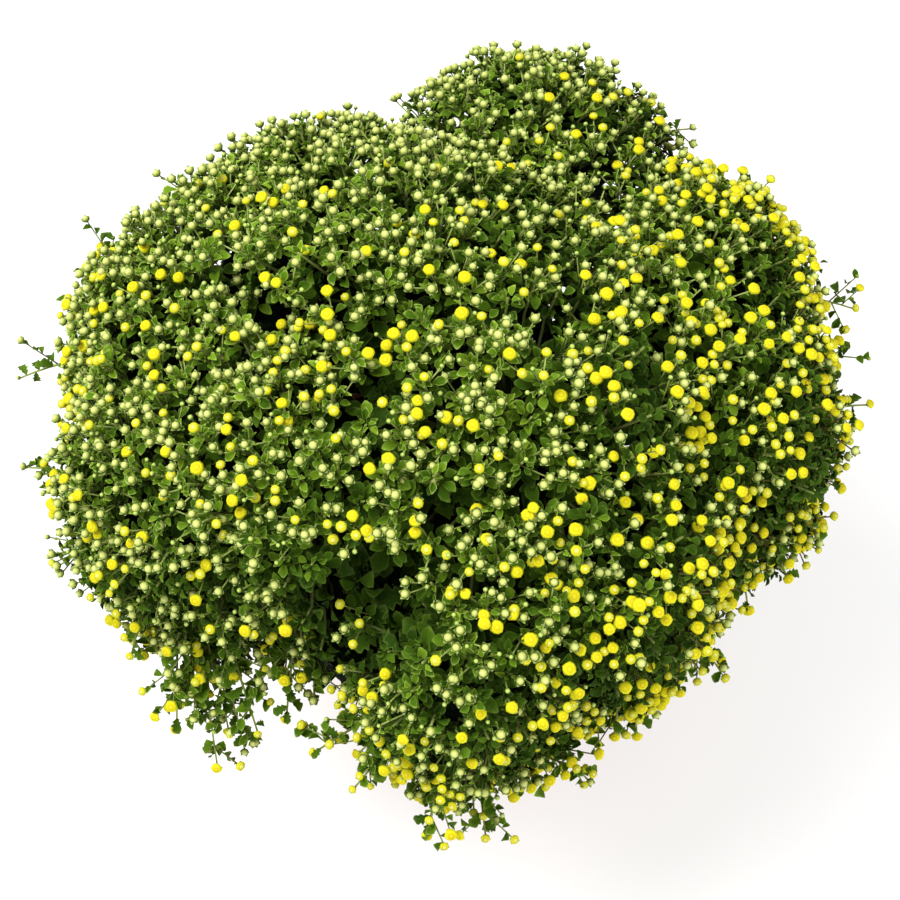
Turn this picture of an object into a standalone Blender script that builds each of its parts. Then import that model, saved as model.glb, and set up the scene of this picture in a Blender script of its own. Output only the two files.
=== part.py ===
"""A pot chrysanthemum: a clay pot of soil with six cushion plants grown into one dome.

Metres, +Z up. The pot stands on z = 0 with its axis on x = y = 0, and the side
that the dome is looked at from is -Y. Each plant is one body: a stem in a hole
in the soil, its branches, a small twiggy core in each of its mounds, and the
leaves and budding sprigs that stand out of that core.
"""

import math
import random

import bmesh
import bpy
from mathutils import Matrix, Vector
from mathutils.bvhtree import BVHTree

# Driving dimensions of the pot and the soil.
POT_HEIGHT = 0.222
POT_RIM_RADIUS = 0.130
POT_BASE_RADIUS = 0.090
POT_WALL = 0.007
POT_FLOOR = 0.010
RIM_BAND_HEIGHT = 0.034
RIM_BAND_OUT = 0.005
POT_EDGE = 0.0025
DRAIN_RADIUS = 0.006
DRAIN_COUNT = 3
DRAIN_RING = 0.052
SOIL_BELOW_RIM = 0.020
SOIL_LUMP = 0.0022
SOIL_RINGS = (0.70, 0.35)
GAP = 0.0004
ROUND_STEPS = 40
SOIL_STEPS = 24
DRILL_SIDES = 10
DRILL_TURN = 0.11
WELD = 0.00001

# Where each plant stands in the soil: its hole, at a ring round the middle.
STEM_RADIUS = 0.0060
STEM_TOP_RADIUS = 0.0042
HOLE_DEPTH = 0.030
HOLE_RING = 0.058
STEM_SIDES = 6
BRANCH_SIDES = 5
FORK_HEIGHT = 0.285
FORK_SHARE = 0.42
BRANCH_SAG = 0.012
STEM_ROOM = 0.0015

# The mounds that each plant's shoots have grown into: x, y, z and radius.
MOUNDS = {
    "plant_back": [(0.068, 0.185, 0.362, 0.084)],
    "plant_left_back": [(-0.094, 0.083, 0.406, 0.086), (-0.169, 0.017, 0.384, 0.085)],
    "plant_left_front": [(-0.169, -0.091, 0.359, 0.088), (-0.082, -0.124, 0.406, 0.072)],
    "plant_middle": [(-0.014, 0.008, 0.424, 0.091), (0.045, -0.092, 0.412, 0.088)],
    "plant_right": [(0.167, 0.072, 0.371, 0.087), (0.177, -0.040, 0.356, 0.098)],
    "plant_front": [(0.109, -0.168, 0.376, 0.069), (0.011, -0.211, 0.357, 0.074)],
}
MOUND_RISE = 1.12
MOUND_HANG = 1.80
CORE_SHARE = 0.52
CORE_LUMP = 0.10
CORE_SEGMENTS = 10
CORE_RINGS = 6
OUTSIDE_SHARE = 0.93
UNDERSIDE = 0.085

# Shoots that stray or trail past the mounds: the plant and each tip's place.
STRAYS = {
    "plant_back": [(0.188, 0.227, 0.360), (0.036, 0.262, 0.400)],
    "plant_left_back": [(-0.300, 0.021, 0.330), (-0.237, 0.088, 0.400)],
    "plant_left_front": [
        (-0.290, -0.040, 0.318), (-0.176, -0.210, 0.252), (-0.150, -0.226, 0.226),
        (-0.134, -0.206, 0.206), (-0.206, -0.176, 0.290),
    ],
    "plant_middle": [],
    "plant_right": [
        (0.209, 0.156, 0.400), (0.290, 0.066, 0.350), (0.295, 0.004, 0.328),
        (0.235, -0.110, 0.330), (0.226, -0.130, 0.310),
    ],
    "plant_front": [
        (-0.090, -0.226, 0.262), (0.180, -0.180, 0.300), (0.153, -0.189, 0.300),
        (0.123, -0.221, 0.270), (0.097, -0.242, 0.250), (0.045, -0.262, 0.270),
        (0.026, -0.282, 0.250), (-0.013, -0.280, 0.250), (-0.063, -0.256, 0.270),
    ],
}

# Sprigs: how far apart they stand on a mound, and the stalk, bud and leaves of one.
SPRIG_SPACING = 0.0840
SPRIG_REACH = (0.95, 1.02)
SPRIG_SWAY = 0.13
SPRIG_TRIES = 6
WHORL_SHARE = (0.63, 0.81)
STALK_RADIUS = 0.0012
BUD_RADIUS = 0.0044
LEAF_LENGTH = 0.056
LEAF_WIDTH = 0.046
LEAF_THICKNESS = 0.0010
LEAF_FOLD = 0.32
LEAF_ARCH = 0.20
LEAF_SIZES = (0.88, 1.12)
LEAF_RISE = (8, 30)
LEAF_RISE_STEP = 6
LEAF_SWAY = 0.35
LEAF_TRIES = 8
LEAF_SHRINK = 0.045
FIVE_LOBED_SHARE = 0.35
ROOT_SUNK = 0.006
WHORL_HALF_HEIGHT = 0.0009
STRAY_BEND = 0.14
STRAY_SWAY = 0.0008
STRAY_TRIES = 12
STRAY_LEAF_SIZES = (0.50, 0.64)
CELL_MARGIN = 0.0010
POT_CLEARANCE = 0.012

# Half outlines of a leaf with three lobes and of one with five: each point is
# its share of the half width and of the length, from the root to the tip. The
# triangles of a half count its root as 0, then these points, then the tip.
LOBES_THREE = [(1.00, 0.58), (0.50, 0.70)]
LOBES_FIVE = [(0.86, 0.42), (0.46, 0.50), (1.00, 0.70), (0.46, 0.79)]
TRIANGLES_THREE = [(0, 1, 2), (0, 2, 3)]
TRIANGLES_FIVE = [(0, 1, 2), (2, 3, 4), (0, 2, 4), (0, 4, 5)]

SEED = 41


def clear_scene():
    """Remove every object that the scene starts with."""
    for thing in list(bpy.data.objects):
        bpy.data.objects.remove(thing, do_unlink=True)


def principled(name, colour, roughness):
    """Return a plain material with the colour given as linear red, green, blue."""
    material = bpy.data.materials.new(name)
    material.use_nodes = True
    shader = material.node_tree.nodes["Principled BSDF"]
    shader.inputs["Base Color"].default_value = (*colour, 1.0)
    shader.inputs["Roughness"].default_value = roughness
    shader.inputs["Metallic"].default_value = 0.0
    material.diffuse_color = (*colour, 1.0)
    return material


def new_object(name, vertices, faces, collection=None, material=None):
    """Make one object from points and faces, with its faces turned outward."""
    mesh = bpy.data.meshes.new(name)
    mesh.from_pydata([tuple(point) for point in vertices], [], faces)
    work = bmesh.new()
    work.from_mesh(mesh)
    bmesh.ops.recalc_face_normals(work, faces=work.faces)
    work.to_mesh(mesh)
    work.free()
    thing = bpy.data.objects.new(name, mesh)
    (collection or bpy.context.scene.collection).objects.link(thing)
    if material:
        mesh.materials.append(material)
    return thing


def shade_round(mesh):
    """Shade the round faces smooth and keep the edges past 40 degrees sharp."""
    mesh.shade_smooth()
    mesh.set_sharp_from_angle(angle=math.radians(40))


def revolve(name, profile, steps, material):
    """Spin a profile of (radius, height) points, which starts and ends on the axis."""
    mesh = bpy.data.meshes.new(name)
    work = bmesh.new()
    points = [work.verts.new((radius, 0.0, height)) for radius, height in profile]
    edges = [work.edges.new(pair) for pair in zip(points, points[1:])]
    bmesh.ops.spin(
        work, geom=points + edges, cent=(0, 0, 0), axis=(0, 0, 1),
        angle=math.tau, steps=steps, use_merge=True,
    )
    bmesh.ops.remove_doubles(work, verts=work.verts, dist=1e-6)
    bmesh.ops.recalc_face_normals(work, faces=work.faces)
    work.to_mesh(mesh)
    work.free()
    thing = bpy.data.objects.new(name, mesh)
    bpy.context.scene.collection.objects.link(thing)
    mesh.materials.append(material)
    shade_round(mesh)
    return thing


def drill(thing, places, radius, low, high):
    """Cut upright round holes into a piece, from one height to another."""
    cutters = bpy.data.collections.new(thing.name + "_cutters")
    bpy.context.scene.collection.children.link(cutters)
    for number, (x, y) in enumerate(places):
        mesh = bpy.data.meshes.new(f"{thing.name}_cutter_{number}")
        work = bmesh.new()
        middle = Matrix.Translation((x, y, (low + high) / 2))
        bmesh.ops.create_cone(
            work, cap_ends=True, segments=DRILL_SIDES, radius1=radius, radius2=radius,
            depth=high - low, matrix=middle @ Matrix.Rotation(DRILL_TURN, 4, "Z"),
        )
        work.to_mesh(mesh)
        work.free()
        cutter = bpy.data.objects.new(mesh.name, mesh)
        cutters.objects.link(cutter)
        cutter.hide_render = True
        cutter.display_type = "WIRE"
    cut = thing.modifiers.new("holes", "BOOLEAN")
    cut.operation = "DIFFERENCE"
    cut.operand_type = "COLLECTION"
    cut.collection = cutters
    cut.solver = "EXACT"


def ring_places(count, radius, turn=0.0):
    """Return places spread evenly on a ring round the pot's axis."""
    angles = [turn + math.tau * number / count for number in range(count)]
    return [(radius * math.cos(angle), radius * math.sin(angle)) for angle in angles]


def pot_outer_radius(height):
    """Return the radius of the pot's tapered side, without its rim band."""
    side_top = POT_RIM_RADIUS - RIM_BAND_OUT
    return POT_BASE_RADIUS + (side_top - POT_BASE_RADIUS) * height / POT_HEIGHT


def pot_inner_radius(height):
    """Return the radius of the pot's inside, one wall in from its side."""
    return pot_outer_radius(height) - POT_WALL


def build_pot(material):
    """Make the clay pot: a tapered shell with a rim band and drainage holes."""
    band = POT_HEIGHT - RIM_BAND_HEIGHT
    profile = [
        (0.0, 0.0),
        (POT_BASE_RADIUS - POT_EDGE, 0.0),
        (pot_outer_radius(POT_EDGE), POT_EDGE),
        (pot_outer_radius(band), band),
        (pot_outer_radius(band) + RIM_BAND_OUT - POT_EDGE, band),
        (pot_outer_radius(band) + RIM_BAND_OUT, band + POT_EDGE),
        (POT_RIM_RADIUS, POT_HEIGHT - POT_EDGE),
        (POT_RIM_RADIUS - POT_EDGE, POT_HEIGHT),
        (pot_inner_radius(POT_HEIGHT) + POT_EDGE, POT_HEIGHT),
        (pot_inner_radius(POT_HEIGHT - POT_EDGE), POT_HEIGHT - POT_EDGE),
        (pot_inner_radius(POT_FLOOR), POT_FLOOR),
        (0.0, POT_FLOOR),
    ]
    pot = revolve("pot", profile, ROUND_STEPS, material)
    places = ring_places(DRAIN_COUNT, DRAIN_RING, turn=math.pi / 6)
    drill(pot, places, DRAIN_RADIUS, -POT_FLOOR, 2 * POT_FLOOR)
    return pot


def stem_place(plant):
    """Return where a plant's stem stands in the soil: towards its mounds."""
    centres = [Vector(mound[:2]) for mound in MOUNDS[plant]]
    middle = sum(centres, Vector((0.0, 0.0))) / len(centres)
    if middle.length < HOLE_RING:
        return Vector((0.0, 0.0))
    return middle.normalized() * HOLE_RING


def build_soil(material, rng):
    """Make the potting soil, with a lumpy top and a plain hole for each stem."""
    top = POT_HEIGHT - SOIL_BELOW_RIM
    low = POT_FLOOR + GAP
    profile = [(0.0, low), (pot_inner_radius(low) - GAP, low)]
    profile += [(pot_inner_radius(top) - GAP, top)]
    profile += [(pot_inner_radius(top) * share, top) for share in SOIL_RINGS]
    profile += [(0.0, top)]
    soil = revolve("soil", profile, SOIL_STEPS, material)
    rim = pot_inner_radius(top) - 2 * GAP
    for point in soil.data.vertices:
        across = math.hypot(point.co.x, point.co.y)
        if point.co.z > top - GAP and across < rim:
            point.co.z += rng.uniform(-1, 1) * SOIL_LUMP
    places = [stem_place(plant) for plant in MOUNDS]
    drill(soil, places, STEM_RADIUS + 2 * GAP, top - HOLE_DEPTH, top + HOLE_DEPTH)
    return soil


def frame_along(direction):
    """Return two unit vectors square to a direction and to each other."""
    helper = Vector((0, 0, 1)) if abs(direction.z) < 0.9 else Vector((1, 0, 0))
    side = direction.cross(helper).normalized()
    return side, direction.cross(side).normalized()


def bend(start, control, end, steps):
    """Return points along a curve that starts towards its control point."""
    shares = [step / steps for step in range(steps + 1)]
    return [
        start * (1 - t) ** 2 + control * 2 * t * (1 - t) + end * t * t
        for t in shares
    ]


def ring(path, number, radius, sides, shift=0.0):
    """Return the corners of a ring square to a path, at one of its points."""
    side = frame_along((path[-1] - path[0]).normalized())[0]
    before = max(number - 1, 0)
    along = (path[before + 1] - path[before]).normalized()
    side = (side - along * side.dot(along)).normalized()
    up = along.cross(side)
    centre = path[number] + along * shift
    angles = [math.tau * corner / sides for corner in range(sides)]
    return [centre + (side * math.cos(a) + up * math.sin(a)) * radius for a in angles]


def tube(path, start_radius, end_radius, sides):
    """Return the closed faceted tube along a path, thinner towards its end."""
    vertices = []
    last = len(path) - 1
    for number in range(len(path)):
        radius = start_radius + (end_radius - start_radius) * number / last
        vertices += ring(path, number, radius, sides)
    faces = [tuple(range(sides))]
    for low in range(0, last * sides, sides):
        for corner in range(sides):
            after = (corner + 1) % sides
            faces.append((low + corner, low + after, low + sides + after, low + sides + corner))
    faces.append(tuple(range(last * sides, (last + 1) * sides)))
    return vertices, faces


class Leaf:
    """One lobed leaf of a sprig: where it points and the places of its outline."""

    def __init__(self, root, direction, above, size, lobes, triangles):
        along = direction.normalized()
        side = above.cross(along).normalized()
        above = along.cross(side).normalized()
        length = LEAF_LENGTH * size
        width = LEAF_WIDTH * size
        half = lobes + [(0.0, 1.0)]
        outline = half + [(-x, y) for x, y in reversed(lobes)]
        self.triangles = triangles
        self.lower = []
        for x, y in outline:
            lift = LEAF_FOLD * abs(x) * width / 2 - LEAF_ARCH * length * y * y
            self.lower.append(root + along * (y * length) + side * (x * width / 2) + above * lift)
        self.upper = [point + above * LEAF_THICKNESS for point in self.lower]

    def surface(self, first, second, start):
        """Return one face's triangles, between two root points and the outline."""
        count = len(self.lower)
        tip = (count - 1) // 2
        near = [first] + [start + k for k in range(tip + 1)]
        far = [second] + [start + count - 1 - k for k in range(tip)] + [start + tip]
        faces = [(first, second, start + tip)]
        faces += [tuple(near[k] for k in face) for face in self.triangles]
        faces += [tuple(far[k] for k in face) for face in self.triangles]
        return faces

    def faces(self, lower_roots, upper_roots, start):
        """Return all the leaf's faces, on its roots and from its first point's index."""
        count = len(self.lower)
        faces = self.surface(*lower_roots, start)
        faces += self.surface(*upper_roots, start + count)
        rim = [lower_roots[0]] + [start + k for k in range(count)] + [lower_roots[1]]
        top = [upper_roots[0]] + [start + count + k for k in range(count)] + [upper_roots[1]]
        for k in range(len(rim) - 1):
            faces += [(rim[k], rim[k + 1], top[k + 1]), (rim[k], top[k + 1], top[k])]
        return faces

    def plate(self, root):
        """Return the leaf as a closed plate of its own, to try where it fits."""
        start = root.lerp(self.lower[len(self.lower) // 2], 0.08)
        rise = self.upper[0] - self.lower[0]
        side = (self.lower[0] - self.lower[-1]).normalized() * STALK_RADIUS
        roots = [start + side, start - side, start + side + rise, start - side + rise]
        vertices = roots + self.lower + self.upper
        return vertices, self.faces((0, 1), (2, 3), 4) + [(0, 1, 3), (0, 3, 2)]


def stalk_sides(path, whorl):
    """Return the ways that a stalk's three sides face at its whorl."""
    corners = ring(path, whorl, 1.0, 3)
    middles = [(corners[k] + corners[(k + 1) % 3]) / 2 - path[whorl] for k in range(3)]
    return [middle.normalized() for middle in middles]


def sprig(path, whorl, leaves):
    """Return a closed stalk with leaves at one of its points and a bud at its end.

    The stalk has three sides. Each of the three leaves, or None, takes the place
    of a side between two rings at the whorl.
    """
    vertices = []
    faces = [(0, 1, 2)]
    for number in range(len(path)):
        shifts = [-WHORL_HALF_HEIGHT, WHORL_HALF_HEIGHT] if number == whorl else [0.0]
        for shift in shifts:
            vertices += ring(path, number, STALK_RADIUS, 3, shift)
            high = len(vertices) - 3
            low = high - 3
            for corner in range(3):
                after = (corner + 1) % 3
                leafy = shift > 0 and leaves[corner]
                if low >= 0 and not leafy:
                    faces.append((low + corner, low + after, high + after, high + corner))
    neck = len(vertices) - 3
    low = 3 * whorl
    for corner, one in enumerate(leaves):
        if one:
            after = (corner + 1) % 3
            start = len(vertices)
            vertices += one.lower + one.upper
            roots = (low + after, low + corner), (low + 3 + after, low + 3 + corner)
            faces += one.faces(*roots, start)
    add_bud(vertices, faces, neck, path)
    return vertices, faces


def add_bud(vertices, faces, neck, path):
    """Open a stalk's last ring into a six-sided bud with a low crown."""
    along = (path[-1] - path[-2]).normalized()
    first = len(vertices)
    vertices += ring(path, len(path) - 1, BUD_RADIUS, 6, BUD_RADIUS * 0.9)
    vertices.append(path[-1] + along * BUD_RADIUS * 1.7)
    for corner in range(3):
        here = neck + corner
        after = neck + (corner + 1) % 3
        below = first + 2 * corner
        beyond = first + (2 * corner + 2) % 6
        faces += [(here, below, below + 1), (here, below + 1, after), (after, below + 1, beyond)]
    faces += [(first + k, first + (k + 1) % 6, first + 6) for k in range(6)]


def scaled(point):
    """Return a point in the space where the mounds are round."""
    return Vector((point.x, point.y, point.z / MOUND_RISE))


def cell_planes(plant, mound):
    """Return the planes that part a mound from the mounds of other plants."""
    centre = Vector(mound[:3])
    planes = []
    for other_plant, others in MOUNDS.items():
        if other_plant == plant:
            continue
        for other in others:
            away = scaled(Vector(other[:3])) - scaled(centre)
            reach = away.length
            share = (reach * reach + mound[3] ** 2 - other[3] ** 2) / (2 * reach * reach)
            on_plane = scaled(centre) + away * share
            on_plane.z *= MOUND_RISE
            normal = Vector((away.x, away.y, away.z / MOUND_RISE)).normalized()
            planes.append((on_plane, normal))
    return planes


def room(vertices, planes):
    """Return how far inside its cell the outermost of some points lies."""
    return min(
        (point - vertex).dot(normal)
        for point, normal in planes for vertex in vertices
    )


def mound_point(mound, way, share=1.0):
    """Return the point of a mound's surface that lies in a direction."""
    stretch = MOUND_RISE if way.z > 0 else MOUND_HANG
    out = Vector((way.x, way.y, way.z * stretch)) * mound[3] * share
    return Vector(mound[:3]) + out


def mound_normal(way):
    """Return the outward normal of a mound's surface in a direction."""
    stretch = MOUND_RISE if way.z > 0 else MOUND_HANG
    return Vector((way.x, way.y, way.z / stretch)).normalized()


def inside_share(mound, point):
    """Return a point's distance from a mound's centre as a share of its surface's."""
    offset = point - Vector(mound[:3])
    stretch = MOUND_RISE if offset.z > 0 else MOUND_HANG
    return Vector((offset.x, offset.y, offset.z / stretch)).length / mound[3]


def spread(mound, spacing, turn):
    """Yield directions spread evenly on a mound, at about the given spacing."""
    count = int(4 * math.pi * (mound[3] / spacing) ** 2 * (MOUND_RISE + MOUND_HANG) / 2)
    for number in range(count):
        z = 1 - 2 * (number + 0.5) / count
        across = math.sqrt(1 - z * z)
        angle = number * math.pi * (3 - math.sqrt(5)) + turn
        yield Vector((across * math.cos(angle), across * math.sin(angle), z))


def shows(mound, way):
    """Tell whether a mound's surface in a direction is on the outside of the dome."""
    point = mound_point(mound, way)
    if point.z < POT_HEIGHT + UNDERSIDE and math.hypot(point.x, point.y) < POT_RIM_RADIUS:
        return False
    others = [other for group in MOUNDS.values() for other in group if other != mound]
    return all(inside_share(other, point) > OUTSIDE_SHARE for other in others)


def clear_of_pot(vertices):
    """Tell whether all points are well above the rim or well outside the pot."""
    reach = POT_RIM_RADIUS + POT_CLEARANCE
    above = POT_HEIGHT + POT_CLEARANCE
    return all(
        point.z > above or (math.hypot(point.x, point.y) > reach and point.z > POT_CLEARANCE)
        for point in vertices
    )


def build_core(plant, mound, rng):
    """Return a mound's lumpy core of twigs, cut off flat at its neighbours' cells."""
    work = bmesh.new()
    bmesh.ops.create_uvsphere(work, u_segments=CORE_SEGMENTS, v_segments=CORE_RINGS, radius=1.0)
    for point in work.verts:
        lump = 1 + rng.uniform(-CORE_LUMP, CORE_LUMP)
        point.co = mound_point(mound, point.co.normalized(), CORE_SHARE * lump)
    for on_plane, normal in cell_planes(plant, mound):
        everything = work.verts[:] + work.edges[:] + work.faces[:]
        cut = bmesh.ops.bisect_plane(
            work, geom=everything, dist=1e-6, plane_co=on_plane - normal * CELL_MARGIN,
            plane_no=normal, clear_outer=True,
        )
        rim = [part for part in cut["geom_cut"] if isinstance(part, bmesh.types.BMEdge)]
        if rim:
            bmesh.ops.contextual_create(work, geom=rim)
    bmesh.ops.remove_doubles(work, verts=work.verts, dist=1e-4)
    bmesh.ops.triangulate(work, faces=work.faces)
    vertices = [point.co.copy() for point in work.verts]
    faces = [tuple(point.index for point in face.verts) for face in work.faces]
    work.free()
    return vertices, faces


def build_stems(plant, stouter=0.0):
    """Return the plant's stem from its hole and a branch to each mound's core."""
    top = POT_HEIGHT - SOIL_BELOW_RIM
    stand = stem_place(plant)
    foot = Vector((stand.x, stand.y, top - HOLE_DEPTH + GAP))
    collar = Vector((stand.x, stand.y, top + HOLE_DEPTH / 2))
    centres = [Vector(mound[:3]) for mound in MOUNDS[plant]]
    middle = sum(centres, Vector()) / len(centres)
    fork = Vector((stand.x, stand.y, 0)).lerp(Vector((middle.x, middle.y, 0)), FORK_SHARE)
    fork.z = FORK_HEIGHT
    thick = STEM_RADIUS + stouter
    thin = STEM_TOP_RADIUS + stouter
    pieces = [tube([foot, collar, fork], thick, thin, STEM_SIDES)]
    for centre in centres:
        start = fork.lerp(collar, 0.15)
        control = fork.lerp(centre, 0.5) - Vector((0, 0, BRANCH_SAG))
        path = bend(start, control, centre, 3)
        pieces.append(tube(path, thin * 0.9, thin * 0.6, BRANCH_SIDES))
    return pieces


class Growth:
    """The pieces of one plant as they are added, each clear of the ones before."""

    def __init__(self):
        self.pieces = []
        self.trees = []

    def guard(self, piece):
        """Guard a piece, of this plant or another, against being crossed."""
        self.trees.append(BVHTree.FromPolygons(*piece))

    def add(self, piece):
        """Keep a piece, and guard it against being crossed by later ones."""
        self.pieces.append(piece)
        self.guard(piece)

    def crosses(self, piece):
        """Tell whether a piece would cross a guarded one."""
        tree = BVHTree.FromPolygons(*piece)
        return any(tree.overlap(other) for other in self.trees)


def root_on(core_tree, mound, point):
    """Return a root point sunk into a mound's core on the way to a point."""
    centre = Vector(mound[:3])
    out = (point - centre).normalized()
    hit = core_tree.ray_cast(centre, out)[0]
    return hit - out * ROOT_SUNK


def fits(piece, growth, planes):
    """Tell whether a piece is in its cell, off the pot and crosses no other."""
    if room(piece[0], planes) < CELL_MARGIN or not clear_of_pot(piece[0]):
        return False
    return not growth.crosses(piece)


def pick_leaf(growth, planes, place, face, along, out, size, five, rng):
    """Return a leaf that fits on one side of a stalk, or None."""
    lobes, triangles = (LOBES_FIVE, TRIANGLES_FIVE) if five else (LOBES_THREE, TRIANGLES_THREE)
    sideways = along.cross(out)
    for attempt in range(LEAF_TRIES):
        steep = math.radians(rng.uniform(*LEAF_RISE) + LEAF_RISE_STEP * attempt)
        sway = rng.uniform(-LEAF_SWAY, LEAF_SWAY) * (1 + attempt / 4)
        direction = out * math.cos(steep) + face * math.sin(steep) + sideways * sway
        shrunk = size * (1 - LEAF_SHRINK * attempt)
        one = Leaf(place, direction, face, shrunk, lobes, triangles)
        if fits(one.plate(place), growth, planes):
            return one
    return None


def grow_sprig(growth, planes, path, whorl, face, sizes, rng):
    """Grow one sprig with the leaves that fit it. Return whether it was grown."""
    bare = sprig(path, whorl, [None] * 3)
    if not fits(bare, growth, planes):
        return False
    along = (path[-1] - path[0]).normalized()
    ways = stalk_sides(path, whorl)
    leaves = [None] * 3
    for corner, size in enumerate(sizes):
        if not size:
            continue
        out = ways[corner]
        five = corner == 0 and rng.random() < FIVE_LOBED_SHARE
        place = path[whorl] + out * STALK_RADIUS / 2
        leaves[corner] = pick_leaf(growth, planes, place, face, along, out, size, five, rng)
    growth.add(sprig(path, whorl, leaves))
    return True


def grow_mound(growth, core_tree, mound, planes, rng):
    """Stand leafy budding sprigs all over a mound, out to its surface."""
    for way in spread(mound, SPRIG_SPACING, turn=rng.uniform(0, math.tau)):
        if not shows(mound, way):
            continue
        normal = mound_normal(way)
        for _ in range(SPRIG_TRIES):
            sway = Vector([rng.uniform(-1, 1) for _ in range(3)]) * SPRIG_SWAY * mound[3]
            tip = mound_point(mound, way, rng.uniform(*SPRIG_REACH)) + sway
            root = root_on(core_tree, mound, tip)
            path = [root, root.lerp(tip, rng.uniform(*WHORL_SHARE)), tip]
            sizes = [rng.uniform(*LEAF_SIZES) for _ in range(3)]
            if grow_sprig(growth, planes, path, 1, normal, sizes, rng):
                break


def grow_stray(growth, core_tree, mound, tip, planes, rng):
    """Grow one shoot that strays past its mound, bent down by its own weight."""
    for attempt in range(STRAY_TRIES):
        sway = Vector([rng.uniform(-1, 1) for _ in range(3)]) * STRAY_SWAY * attempt
        end = tip + sway
        root = root_on(core_tree, mound, end)
        control = root.lerp(end, 0.5) + Vector((0, 0, STRAY_BEND * (end - root).length))
        path = bend(root, control, end, 3)
        sizes = [0.0] + [rng.uniform(*STRAY_LEAF_SIZES) for _ in range(2)]
        if grow_sprig(growth, planes, path, 2, Vector((0, 0, 1)), sizes, rng):
            break


def nearest_mound(plant, tip):
    """Return the mound of a plant that a stray shoot's tip lies nearest to."""
    return min(MOUNDS[plant], key=lambda mound: inside_share(mound, tip))


def clean_body(mesh):
    """Weld points that joining left too close, and drop scraps and sealed hollows."""
    work = bmesh.new()
    work.from_mesh(mesh)
    bmesh.ops.remove_doubles(work, verts=work.verts, dist=WELD)
    bmesh.ops.triangulate(work, faces=work.faces)
    left = set(work.faces)
    bodies = []
    while left:
        body = set()
        front = [left.pop()]
        while front:
            face = front.pop()
            body.add(face)
            for edge in face.edges:
                for near in edge.link_faces:
                    if near in left:
                        left.remove(near)
                        front.append(near)
        bodies.append(body)
    largest = max(bodies, key=len)
    scraps = [face for body in bodies if body is not largest for face in body]
    if scraps:
        bmesh.ops.delete(work, geom=scraps, context="FACES")
    work.to_mesh(mesh)
    work.free()


def join_pieces(name, pieces, material):
    """Join a plant's pieces into one body with one union, and keep only it."""
    scene = bpy.context.scene
    parts = bpy.data.collections.new(name + "_pieces")
    scene.collection.children.link(parts)
    body = new_object(name, *pieces[0], material=material)
    for number, piece in enumerate(pieces[1:]):
        new_object(f"{name}_piece_{number}", *piece, collection=parts)
    union = body.modifiers.new("join", "BOOLEAN")
    union.operation = "UNION"
    union.operand_type = "COLLECTION"
    union.collection = parts
    union.solver = "MANIFOLD"
    joined = bpy.data.meshes.new_from_object(
        body.evaluated_get(bpy.context.evaluated_depsgraph_get())
    )
    body.modifiers.remove(union)
    body.data = joined
    joined.name = name
    for part in list(parts.objects):
        bpy.data.objects.remove(part, do_unlink=True)
    bpy.data.collections.remove(parts)
    clean_body(joined)
    joined.materials.clear()
    joined.materials.append(material)
    shade_round(joined)
    return body


def build_plant(plant, material, rng):
    """Make one plant: its cores, stems, stray shoots and sprigs, in one body."""
    growth = Growth()
    grounds = {}
    for mound in MOUNDS[plant]:
        core = build_core(plant, mound, rng)
        growth.pieces.append(core)
        grounds[mound] = (BVHTree.FromPolygons(*core), cell_planes(plant, mound))
    growth.pieces += build_stems(plant)
    for other in MOUNDS:
        if other != plant:
            for stem in build_stems(other, stouter=STEM_ROOM):
                growth.guard(stem)
    for place in STRAYS[plant]:
        tip = Vector(place)
        mound = nearest_mound(plant, tip)
        tree, planes = grounds[mound]
        grow_stray(growth, tree, mound, tip, planes, rng)
    for mound, (tree, planes) in grounds.items():
        grow_mound(growth, tree, mound, planes, rng)
    return join_pieces(plant, growth.pieces, material)


def main():
    """Build the pot, the soil and the plants."""
    clear_scene()
    rng = random.Random(SEED)
    clay = principled("terracotta", (0.42, 0.16, 0.08), 0.85)
    earth = principled("potting_soil", (0.035, 0.022, 0.014), 0.95)
    green = principled("leaf_green", (0.10, 0.19, 0.04), 0.60)
    build_pot(clay)
    build_soil(earth, rng)
    for plant in MOUNDS:
        build_plant(plant, green, rng)


main()
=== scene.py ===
# %% [markdown]
# # Pot chrysanthemum: dressing the CAD frame
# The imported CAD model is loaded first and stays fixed. It gives the pot, the soil and six plants as
# plain faceted solids. Each plant is replaced by finer pieces that keep its form: shoots, leaves and
# buds, thousands of them, grown by one seeded rule over the same mounds as the CAD's.

import math

import bpy
import numpy as np
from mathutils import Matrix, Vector


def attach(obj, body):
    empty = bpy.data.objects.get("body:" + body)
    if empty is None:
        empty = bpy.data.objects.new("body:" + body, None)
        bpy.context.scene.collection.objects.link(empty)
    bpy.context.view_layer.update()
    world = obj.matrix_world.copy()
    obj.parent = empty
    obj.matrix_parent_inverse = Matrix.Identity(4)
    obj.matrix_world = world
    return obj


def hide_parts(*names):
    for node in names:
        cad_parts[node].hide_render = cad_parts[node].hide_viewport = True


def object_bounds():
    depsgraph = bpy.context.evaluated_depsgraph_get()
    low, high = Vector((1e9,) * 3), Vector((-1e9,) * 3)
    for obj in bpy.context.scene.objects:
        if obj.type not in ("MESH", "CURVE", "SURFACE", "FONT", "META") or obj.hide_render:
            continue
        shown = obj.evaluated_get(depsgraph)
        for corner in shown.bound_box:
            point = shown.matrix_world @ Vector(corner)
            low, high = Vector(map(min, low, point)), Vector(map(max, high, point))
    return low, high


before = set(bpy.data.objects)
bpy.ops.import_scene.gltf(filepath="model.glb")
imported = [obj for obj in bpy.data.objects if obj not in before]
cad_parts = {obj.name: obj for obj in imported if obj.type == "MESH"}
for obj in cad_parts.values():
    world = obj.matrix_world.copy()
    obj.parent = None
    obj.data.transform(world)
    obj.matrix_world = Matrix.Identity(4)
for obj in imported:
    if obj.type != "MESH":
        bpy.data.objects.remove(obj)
cad_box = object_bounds()
print("CAD box", [round(v, 3) for v in (*cad_box[0], *cad_box[1])])

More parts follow.
